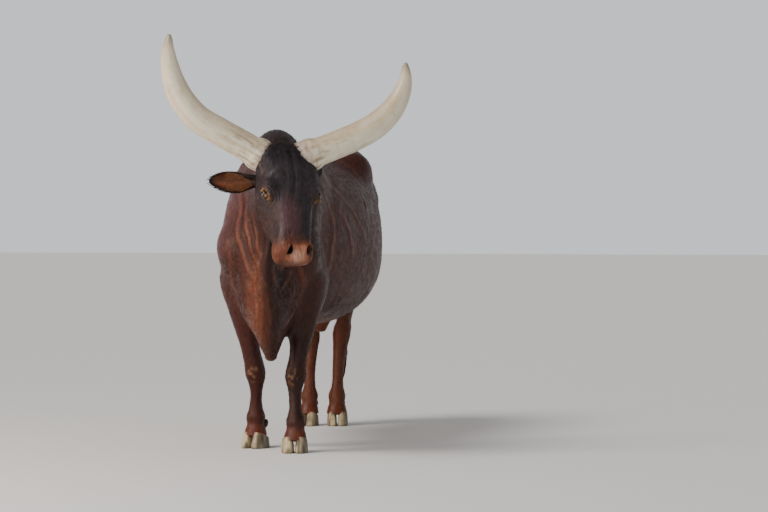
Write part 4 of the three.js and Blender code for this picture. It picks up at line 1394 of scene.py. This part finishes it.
for end, feet in FEET.items():
    size = CLAW_SIZE[end]
    for side, sign in SIDES.items():
        axes = foot_axes(feet[side], TOE_OUT[end][side], sign)
        for outer in (1, -1):
            where = "outer" if outer == sign else "inner"
            rise = np.concatenate([[0, 0.01, 0.03], np.linspace(0.06, 0.97, 20), [1.0]])[:, None]
            angle = circle(CLAW_ROUND)[None, :]
            _, forward, aside = np.moveaxis(claw_shape(rise[:, 0]), -1, 0)
            tuck = 1 - 0.03 * (1 - smooth(rise, 0, 0.03)) - 0.05 * smooth(rise, 0.96, 1.0)
            toward = rounded(np.cos(angle), 0.85)
            middle = (CLAW["inner"] + CLAW["outer"]) / 2
            half = (CLAW["outer"] - CLAW["inner"]) / 2
            to_front = toward * CLAW["ahead"] * forward[:, None]
            to_heel = toward * CLAW["behind"] * (1 - 0.1 * rise)
            ahead = np.where(toward > 0, to_front, to_heel)
            rounding = rounded(np.sin(angle), 0.75)
            wide = middle - 8 * np.maximum(toward, 0) ** 2
            wide = wide + rounding * half * aside[:, None] * (1 - 0.12 * np.maximum(toward, 0)) * tuck
            ahead = ahead * tuck
            ridges = 0.5 * np.sin(rise * 60 + 0.6 * np.sin(angle * 2)) * smooth(rise, 0.1, 0.3)
            wide = np.maximum(wide + ridges * np.sin(angle) * 0.6, CLAW["inner"])
            top = hairline(size * ahead) - 0.3
            grid = np.stack([outer * size * wide, size * (ahead + ridges * np.cos(angle)), rise * top], -1)
            rows, count = grid.shape[:2]
            points = axes.points(grid.reshape(-1, 3))
            name = f"claw_{end}_{side}_{where}"
            made = mesh_object(name + "_fine", points, ring_faces(rows, count))
            height = np.repeat(rise[:, 0], count)
            tint = plain("hoof", len(points))
            streak = noise(points * [1, 1, 0.12], 11, 5)
            tint = mixed(tint, "hoof_streak", smooth(streak, -0.25, 0.4) * 0.75)
            dark_side = smooth((points - axes.point(0, 0, 0)) @ X, 10, 60)
            tint = mixed(tint, "hoof_shade", 0.7 * dark_side)
            tint = mixed(tint, "hoof_top", 0.6 * smooth(height, 0.8, 1.0))
            tint = mixed(tint, "hoof_edge", 0.6 * (1 - smooth(height, 0.0, 0.15)))
            paint(made, tint)
            use(made, hoof_nodes.material, "hoof", name)

            name = f"dewclaw_{end}_{side}_{where}"
            made = round_object(name + "_fine", 4, 1)
            local = points_of(made.data) * DEWCLAW["size"]
            c, s = math.cos(DEWCLAW["lean"]), math.sin(DEWCLAW["lean"])
            local = np.stack(
                [local[:, 0], local[:, 1] * c - local[:, 2] * s, local[:, 1] * s + local[:, 2] * c], 1
            )
            local = local + [outer * DEWCLAW["aside"], -DEWCLAW["behind"], DEWCLAW["height"]]
            made.data.vertices.foreach_set("co", to_frame(axes.points(local)).ravel())
            paint(made, mixed(plain("dewclaw", len(local)), "dewclaw_tip", 0.4 * noise(local, 9)))
            use(made, hoof_nodes.material, "hoof", name)

# Tail
TAIL_RUN = [
    (0, 1440, 1352), (4, 1500, 1338), (14, 1556, 1270), (26, 1578, 1140), (38, 1576, 980),
    (46, 1570, 800), (50, 1566, 640), (52, 1564, 500), (52, 1562, 440),
]
tail_radius = through([(0, 44), (0.1, 40), (0.2, 31), (0.4, 22), (0.7, 16), (1, 11)])
TAIL_PLACES = 130
TAIL_ROUND = 28
tail_places = spline(TAIL_RUN, TAIL_PLACES)
share = np.linspace(0, 1, len(tail_places))


def bones(share, angle):
    """Low swellings where the bones of the tail meet, within the depth of the coat."""
    return np.sin(share * 110) * (1 - share) - 1.5 + 0 * angle


points, faces = tube(tail_places, tail_radius(share)[:, 1], TAIL_ROUND, level=X, shape=bones)
tail = mesh_object("tail_fine", points, faces)
paint(tail, mixed(markings_and_painted_light(points), "umber", np.full(len(points), 0.5)))
use(tail, coat, "coat", "tail")

# Coat of tufts: thin closed blades rooted in the skin and lying along it
TUFTS = 88000
PIECE_TUFTS = 18000
PATCH = 0.0014
PANELS = {
    "trunk": (0.03, 0.53, 0.03, 0.94),
    "head": (0.6, 0.17, 0.03, 0.44),
    "leg": (0.81, 0.16, 0.03, 0.21),
    "ear": (0.62, 0.14, 0.8, 0.17),
    "lashes": (0.62, 0.1, 0.77, 0.0),
    "switch": (0.62, 0.14, 0.54, 0.2),
}
LEG_BAND = 0.24
HEAD_TOP = -60
HEAD_BACK = -290
SOLE_CLEAR = 45
EYE_CLEAR = 27
AHEAD_OF_ALL = 3000
DENSER = {"head": 2.2, "legs": 1.0}
BLADE_SUNK = 0.6
BLADE_ROWS = [(0.0, 1.0, 0.0, BLADE_SUNK), (0.5, 0.8, 0.62, 0.0)]
BLADE_SPREAD = [(-1, -1), (1, -1), (0, -0.6), (-0.7, 0), (0.7, 0), (0, 0.3), (0, 1)]
BLADE_RING = [(-0.5, 0.0), (0.5, 0.0), (0.0, 0.6)]
BLADE_FACES = [(0, 2, 1)]
BLADE_FACES += [(0, 1, 4), (0, 4, 3), (1, 2, 5), (1, 5, 4), (2, 0, 3), (2, 3, 5)]
BLADE_FACES += [(3, 4, 6), (4, 5, 6), (5, 3, 6)]
random = np.random.default_rng(11)


def on_panel(name, u, v, shift=0.0):
    """Places on one panel of the unwrapping, from shares across and up it."""
    left, wide, low, high = PANELS[name]
    return np.stack([left + wide * u, low + shift + high * v], 1)


def turn_share(aside, up):
    return np.arctan2(aside, up) / (2 * math.pi) + 0.5


def unwrapped(points):
    """Where places of the body lie on its flat unwrapping, with panels for trunk, head and each leg."""
    x, y, z = points.T
    chart = on_panel("trunk", turn_share(x, z - 960), np.clip((y + 560) / 2200, 0, 1))
    across, level, along = face.local(points).T
    on_head = (along > HEAD_TOP) & (level > -300) & (y < HEAD_BACK)
    head_chart = on_panel("head", turn_share(across, level + 130), np.clip((along + 80) / 700, 0, 1))
    chart = np.where(on_head[:, None], head_chart, chart)
    for k, feet in enumerate(FEET.values()):
        for n, (foot_x, foot_y) in enumerate(feet.values()):
            same_side = (x > 0) == (foot_x > 0)
            on_leg = (z < 620) & (np.hypot(x - foot_x, y - foot_y) < 230) & same_side & ~on_head
            round_leg = turn_share(x - foot_x, y - foot_y)
            leg_chart = on_panel("leg", round_leg, np.clip(z / 640, 0, 1), LEG_BAND * (2 * k + n))
            chart = np.where(on_leg[:, None], leg_chart, chart)
    return chart


def many_copies(name, points, faces, tints, chart, spread):
    """One mesh of many small bodies with the same faces, each on a small patch of the unwrapping."""
    count, per = points.shape[:2]
    faces = (np.array(faces)[None] + per * np.arange(count)[:, None, None]).reshape(-1, 3)
    made = mesh_object(name, points.reshape(-1, 3), faces)
    paint(made, np.repeat(tints, per, 0))
    places = (chart[:, None] + np.array(spread)[None] * PATCH).reshape(-1, 2)
    made.data.uv_layers.new(name="OFBake").data.foreach_set("uv", places[faces.ravel()].ravel())
    return made


def blades(name, roots, normals, ways, lengths, widths, lifts, tints, chart):
    """One mesh of many closed blades, each with its own small patch on the unwrapping."""
    ways = unit(ways - normals * (ways * normals).sum(1)[:, None])
    sides = np.cross(normals, ways)
    length, width, lift = lengths[:, None], widths[:, None], lifts[:, None]
    rings = []
    for share, size, rise, sunk in BLADE_ROWS:
        middle = roots + ways * length * share + normals * (length * lift * rise - sunk)
        for aside, up in BLADE_RING:
            rings.append(middle + sides * width * size * aside + normals * width * size * up)
    rings.append(roots + ways * length + normals * length * lift)
    points = np.stack(rings, 1)
    made = many_copies(name, points, BLADE_FACES, tints, chart, BLADE_SPREAD)
    made.data.normals_split_custom_set_from_vertices(np.repeat(normals, len(BLADE_SPREAD), 0).tolist())
    return made


def coat_roots(count):
    """Roots spread over the skin, more closely on the head and legs."""
    mesh = skin.data
    mesh.calc_loop_triangles()
    corners = np.empty(len(mesh.loop_triangles) * 3, np.int64)
    mesh.loop_triangles.foreach_get("vertices", corners)
    corners = corners.reshape(-1, 3)
    places = from_frame(points_of(mesh))
    a, b, c = (places[corners[:, k]] for k in range(3))
    area = np.linalg.norm(np.cross(b - a, c - a), axis=1)
    middle = (a + b + c) / 3
    across, level, along = face.local(middle).T
    on_head = (along > HEAD_TOP) & (level > -260) & (middle[:, 1] < HEAD_BACK)
    weight = 1 + DENSER["head"] * on_head + DENSER["legs"] * (middle[:, 2] < 520) * ~on_head
    weight = weight * (middle[:, 2] > SOLE_CLEAR)
    pad = on_head & (along > 492) & (np.abs(across - 4) < 62) & (level > -135)
    mouth = on_head & (np.abs(level - MOUTH["level"]) < 7) & (along > 430)
    weight = weight * ~pad * ~mouth
    for centre in eye_centres:
        weight = weight * (np.linalg.norm(middle - centre, axis=1) > EYE_CLEAR)
    share = np.cumsum(area * weight)
    chosen = np.searchsorted(share, random.random(count) * share[-1])
    s, t = random.random((2, count))
    s, t = np.where(s + t > 1, 1 - s, s), np.where(s + t > 1, 1 - t, t)
    roots = a[chosen] + s[:, None] * (b - a)[chosen] + t[:, None] * (c - a)[chosen]
    normals = unit(normals_of(mesh)[corners[chosen]].sum(1))
    return roots, normals


def coat_lie(roots, normals):
    """Which way the hair lies, how long it is and how far it stands off."""
    _, y, z = roots.T
    _, level, along = face.local(roots).T
    on_head = smooth(along, -60, 0) * smooth(level, -300, -240) * smooth(-y, 280, 330)
    on_leg = (1 - smooth(z, 480, 760)) * (1 - on_head)
    way = np.tile([0.0, 1.0, -0.3], (len(roots), 1))
    way = way * (1 - on_leg[:, None]) + np.array([0, 0.15, -1.0]) * on_leg[:, None]
    dewlap = smooth(-y, 90, 200) * (1 - smooth(z, 800, 1000)) * (1 - on_leg) * (1 - on_head)
    way = way * (1 - dewlap[:, None]) + np.array([0, 0.35, -1.0]) * dewlap[:, None]
    way = way * (1 - on_head[:, None]) + face.direction(0, 0, 1) * on_head[:, None]
    poll = on_head * (1 - smooth(along, 60, 130)) * smooth(level, -130, -80)
    wander = np.radians(10 + 42 * poll) * random.normal(size=len(roots))
    swirl = np.radians(22) * noise(roots, 120, 41) * (1 - on_head)
    flat = unit(way - normals * (way * normals).sum(1)[:, None])
    turn = (wander + swirl)[:, None]
    way = flat * np.cos(turn) + np.cross(normals, flat) * np.sin(turn)
    length = 11 + 4 * smooth(z, 1380, 1460) - 3 * on_leg - 2 * (1 - smooth(z, 120, 220))
    length = length + 5 * dewlap * smooth(noise(roots, 40, 42), -0.2, 0.6)
    length = length * (1 - on_head) + 5.5 * on_head + 11 * poll
    length = length * (0.75 + 0.5 * random.random(len(roots)))
    width = 1.1 + 0.05 * length
    lift = 0.13 + 0.16 * poll + 0.1 * random.random(len(roots))
    return way, length, width, lift


roots, normals = coat_roots(TUFTS)
ways, lengths, widths, lifts = coat_lie(roots, normals)
tints = markings_and_painted_light(roots) * (0.78 + 0.5 * random.random(len(roots)))[:, None]
chart = unwrapped(roots)
in_head = (face.local(roots)[:, 2] > HEAD_TOP) * (roots[:, 1] < HEAD_BACK)
order = np.argsort(roots[:, 1] - AHEAD_OF_ALL * in_head, kind="stable")
for piece, chosen in enumerate(np.array_split(order, math.ceil(TUFTS / PIECE_TUFTS))):
    rows = (roots, normals, ways, lengths, widths, lifts, tints, chart)
    made = blades(f"coat_{piece + 1}", *[row[chosen] for row in rows])
    use(made, coat, "coat")

# Hair of the ears and lashes of the eyes
EAR_HAIR = {"edge": 900, "bowl": 700, "width": 1.3, "lift": 0.12}
LASHES = {"count": 26, "length": 13.0, "width": 1.1, "lift": 0.1}
for side, (axes, points, inside, rim, place) in ears.items():
    basis = np.array([axes.direction(*row) for row in np.eye(3)])
    local = axes.local(points)
    edge = np.flatnonzero((rim > 0.93) & (place > 0.1))
    bowl = np.flatnonzero((inside > 0) & (rim < 0.8) & (place > 0.12) & (place < 0.62))
    chosen = np.concatenate([random.choice(edge, EAR_HAIR["edge"]), random.choice(bowl, EAR_HAIR["bowl"])])
    outward = np.sign(local[chosen, 0])[:, None] * basis[0]
    at_edge = (rim[chosen] > 0.9)[:, None]
    way = np.where(at_edge, 0.9 * basis[2] + 0.5 * outward + 0.3 * basis[1], basis[2] + 0.2 * outward)
    way = unit(way + 0.28 * random.normal(size=way.shape))
    facing = unit(np.where(at_edge, outward, basis[1] + 0.01 * outward))
    edge_length = 8 + 8 * random.random(len(chosen))
    bowl_length = 18 + 12 * random.random(len(chosen))
    length = np.where(at_edge[:, 0], edge_length, bowl_length)
    shade = 0.7 + 0.6 * random.random((len(chosen), 1))
    tint = np.where(at_edge, TINTS["soot"] * 1.3, TINTS["ear_hair"]) * shade
    panel = on_panel("ear", rim[chosen], place[chosen])
    size = np.full(len(chosen), EAR_HAIR["width"])
    lift = np.full(len(chosen), EAR_HAIR["lift"])
    roots = axes.points(local[chosen])
    made = blades("ear_hair_" + side, roots, facing, way, length, size, lift, tint, panel)
    use(made, coat, "coat")

for side, axes in eye_places.items():
    ring = np.array(lid_ring(axes))
    local = axes.local(ring)
    upper = ring[local[:, 1] < -2]
    chosen = upper[np.linspace(0, len(upper) - 1, LASHES["count"]).astype(int)]
    local = axes.local(chosen)
    way = axes.points(local * [1.3, 1.25, 1] + [0, -6, 12]) - chosen
    down = np.tile(axes.direction(0, -1, 0.2), (len(chosen), 1))
    length, size, lift = (np.full(len(chosen), LASHES[key]) for key in ("length", "width", "lift"))
    tint = plain("soot", len(chosen))
    panel = on_panel("lashes", np.linspace(0, 1, len(chosen)), np.zeros(len(chosen)))
    made = blades("lashes_" + side, chosen, down, way, length, size, lift, tint, panel)
    use(made, coat, "coat")

# Switch of the tail: long locks over a dark core
SWITCH_RUN = [(52, 1563, 548), (52, 1563, 480), (53, 1565, 380), (55, 1568, 280), (57, 1572, 206)]
switch_reach = through([(0, 21, 20), (0.22, 33, 30), (0.5, 40, 36), (0.8, 27, 24), (1, 6, 5)])
LOCKS = 900
LOCK_STEPS = 7
LOCK_WIDTH = 2.6
LOCK_TIP = 0.12
CORE_SHARE = 0.55
switch_line = spline(SWITCH_RUN, 80)
core_share = np.linspace(0, 1, len(switch_line))
points, faces = tube(switch_line, CORE_SHARE * switch_reach(core_share)[:, 1] + 1.5, 20, level=X)
core = mesh_object("switch_core", points, faces)
paint(core, mixed(plain("soot", len(points)), "umber", 0.5 + 0.5 * noise(points, 12, 51)))

start = random.random(LOCKS) ** 1.3 * 0.72
finish = np.minimum(start + 0.28 + 0.3 * random.random(LOCKS), 1.0)
turn = random.random(LOCKS) * 2 * math.pi
far = 0.55 + 0.42 * random.random(LOCKS)
wave = random.random(LOCKS) * 2 * math.pi
rings = []
for step in range(LOCK_STEPS):
    t = step / (LOCK_STEPS - 1)
    share = start + (finish - start) * t
    reach = switch_reach(share)[:, 1:]
    out = (0.42 + (far - 0.42) * min(1, 2.2 * t)) * (1 - 0.25 * t**3)
    bend = turn + 0.25 * np.sin(3.5 * t + wave)
    middle = np.stack([np.interp(share, core_share, switch_line[:, k]) for k in range(3)], 1)
    middle[:, 0] += reach[:, 0] * out * np.cos(bend)
    middle[:, 1] += reach[:, 1] * out * np.sin(bend)
    size = LOCK_WIDTH * (1 - t**2) + LOCK_TIP
    for corner in range(3):
        angle = bend + corner * 2 * math.pi / 3
        rings.append(middle + size * np.stack([np.cos(angle), np.sin(angle), 0 * angle], 1))
last = 3 * LOCK_STEPS - 1
faces = [(1, 2, 0), (last, last - 1, last - 2)]
for step in range(LOCK_STEPS - 1):
    for corner in range(3):
        a, b = 3 * step + corner, 3 * step + (corner + 1) % 3
        faces += [(a + 3, b + 3, a), (b + 3, b, a)]
tint = mixed(plain("soot", LOCKS), "mahogany", 0.5 * random.random(LOCKS))
panel = on_panel("switch", turn / (2 * math.pi), start)
spread = np.stack([np.tile([-1, 1, 0], LOCK_STEPS), np.repeat(np.linspace(-1, 1, LOCK_STEPS), 3)], 1)
switch = many_copies("switch_hair", np.stack(rings, 1), faces, tint, panel, spread)
use(switch, coat, "tail_hair", "tail_switch")
use(core, coat, "tail_hair")

# Stage: a pale floor and soft light
STAGE = Vector(STANCE)
FLOOR_HALF_WIDTH = 30
FLOOR_DEPTH = (-30, 40)
SUN_STRENGTH = 2.0
SUN_WIDTH = 24
SUN_WAY = (0.62, 0.5, -0.95)


def area_light(name, place, aim, size, power, tint):
    data = bpy.data.lights.new(name, "AREA")
    data.shape = "SQUARE"
    data.size = size
    data.energy = power
    data.color = tint
    made = bpy.data.objects.new(name, data)
    bpy.context.scene.collection.objects.link(made)
    made.location = STAGE + Vector(place)
    made.rotation_euler = (Vector(aim) - Vector(place)).to_track_quat("-Z", "Y").to_euler()


floor_mesh = bpy.data.meshes.new("floor")
near, far = FLOOR_DEPTH
ends = (near, near, far, far)
turns = (-1, 1, 1, -1)
corners = [(turn * FLOOR_HALF_WIDTH, depth, 0) for turn, depth in zip(turns, ends)]
floor_mesh.from_pydata(corners, [], [(0, 1, 2, 3)])
floor = bpy.data.objects.new("floor", floor_mesh)
bpy.context.scene.collection.objects.link(floor)
floor_nodes = Nodes("floor")
floor_nodes.set(Base_Color=(0.8, 0.785, 0.76, 1.0), Roughness=0.9)
floor_mesh.materials.append(floor_nodes.material)

# A soft surround, pale at the level of the eye and darker overhead
world = bpy.data.worlds.new("studio")
world.use_nodes = True
sky = world.node_tree.nodes
links = world.node_tree.links
direction = sky.new("ShaderNodeTexCoord")
height = sky.new("ShaderNodeSeparateXYZ")
ramp = sky.new("ShaderNodeMapRange")
links.new(direction.outputs["Generated"], height.inputs["Vector"])
links.new(height.outputs["Z"], ramp.inputs["Value"])
for key, value in {"From Min": 0.12, "From Max": 0.4, "To Min": 0.86, "To Max": 0.34}.items():
    ramp.inputs[key].default_value = value
links.new(ramp.outputs["Result"], sky["Background"].inputs["Strength"])
sky["Background"].inputs["Color"].default_value = (0.95, 0.97, 1.0, 1.0)
bpy.context.scene.world = world

sun_data = bpy.data.lights.new("sun", "SUN")
sun_data.energy = SUN_STRENGTH
sun_data.angle = math.radians(SUN_WIDTH)
sun_data.color = (1.0, 0.98, 0.95)
sun = bpy.data.objects.new("sun", sun_data)
bpy.context.scene.collection.objects.link(sun)
sun.rotation_euler = Vector(SUN_WAY).to_track_quat("-Z", "Y").to_euler()
area_light("glow", (-3.8, -2.2, 1.5), (0, 0.3, 0.7), 1.6, 90, (1.0, 0.66, 0.46))
area_light("fill", (-1.6, -4.6, 1.6), (0, 0, 1.1), 1.6, 60, (0.9, 0.93, 1.0))

# Camera at the photograph's place
LENS_PIXELS = 2700
FRAME_WIDTH = 768
HEADING = 8.6
PITCH = 1.337
CAMERA_PLACE = (2.391, -12.362, 1.2)
camera_data = bpy.data.cameras.new("camera")
camera_data.sensor_width = 36
camera_data.lens = LENS_PIXELS / FRAME_WIDTH * camera_data.sensor_width
camera_data.clip_end = 200
camera = bpy.data.objects.new("camera", camera_data)
bpy.context.scene.collection.objects.link(camera)
camera.location = STAGE + Vector(CAMERA_PLACE)
camera.rotation_euler = (math.radians(90 - PITCH), 0, math.radians(HEADING))
bpy.context.scene.camera = camera
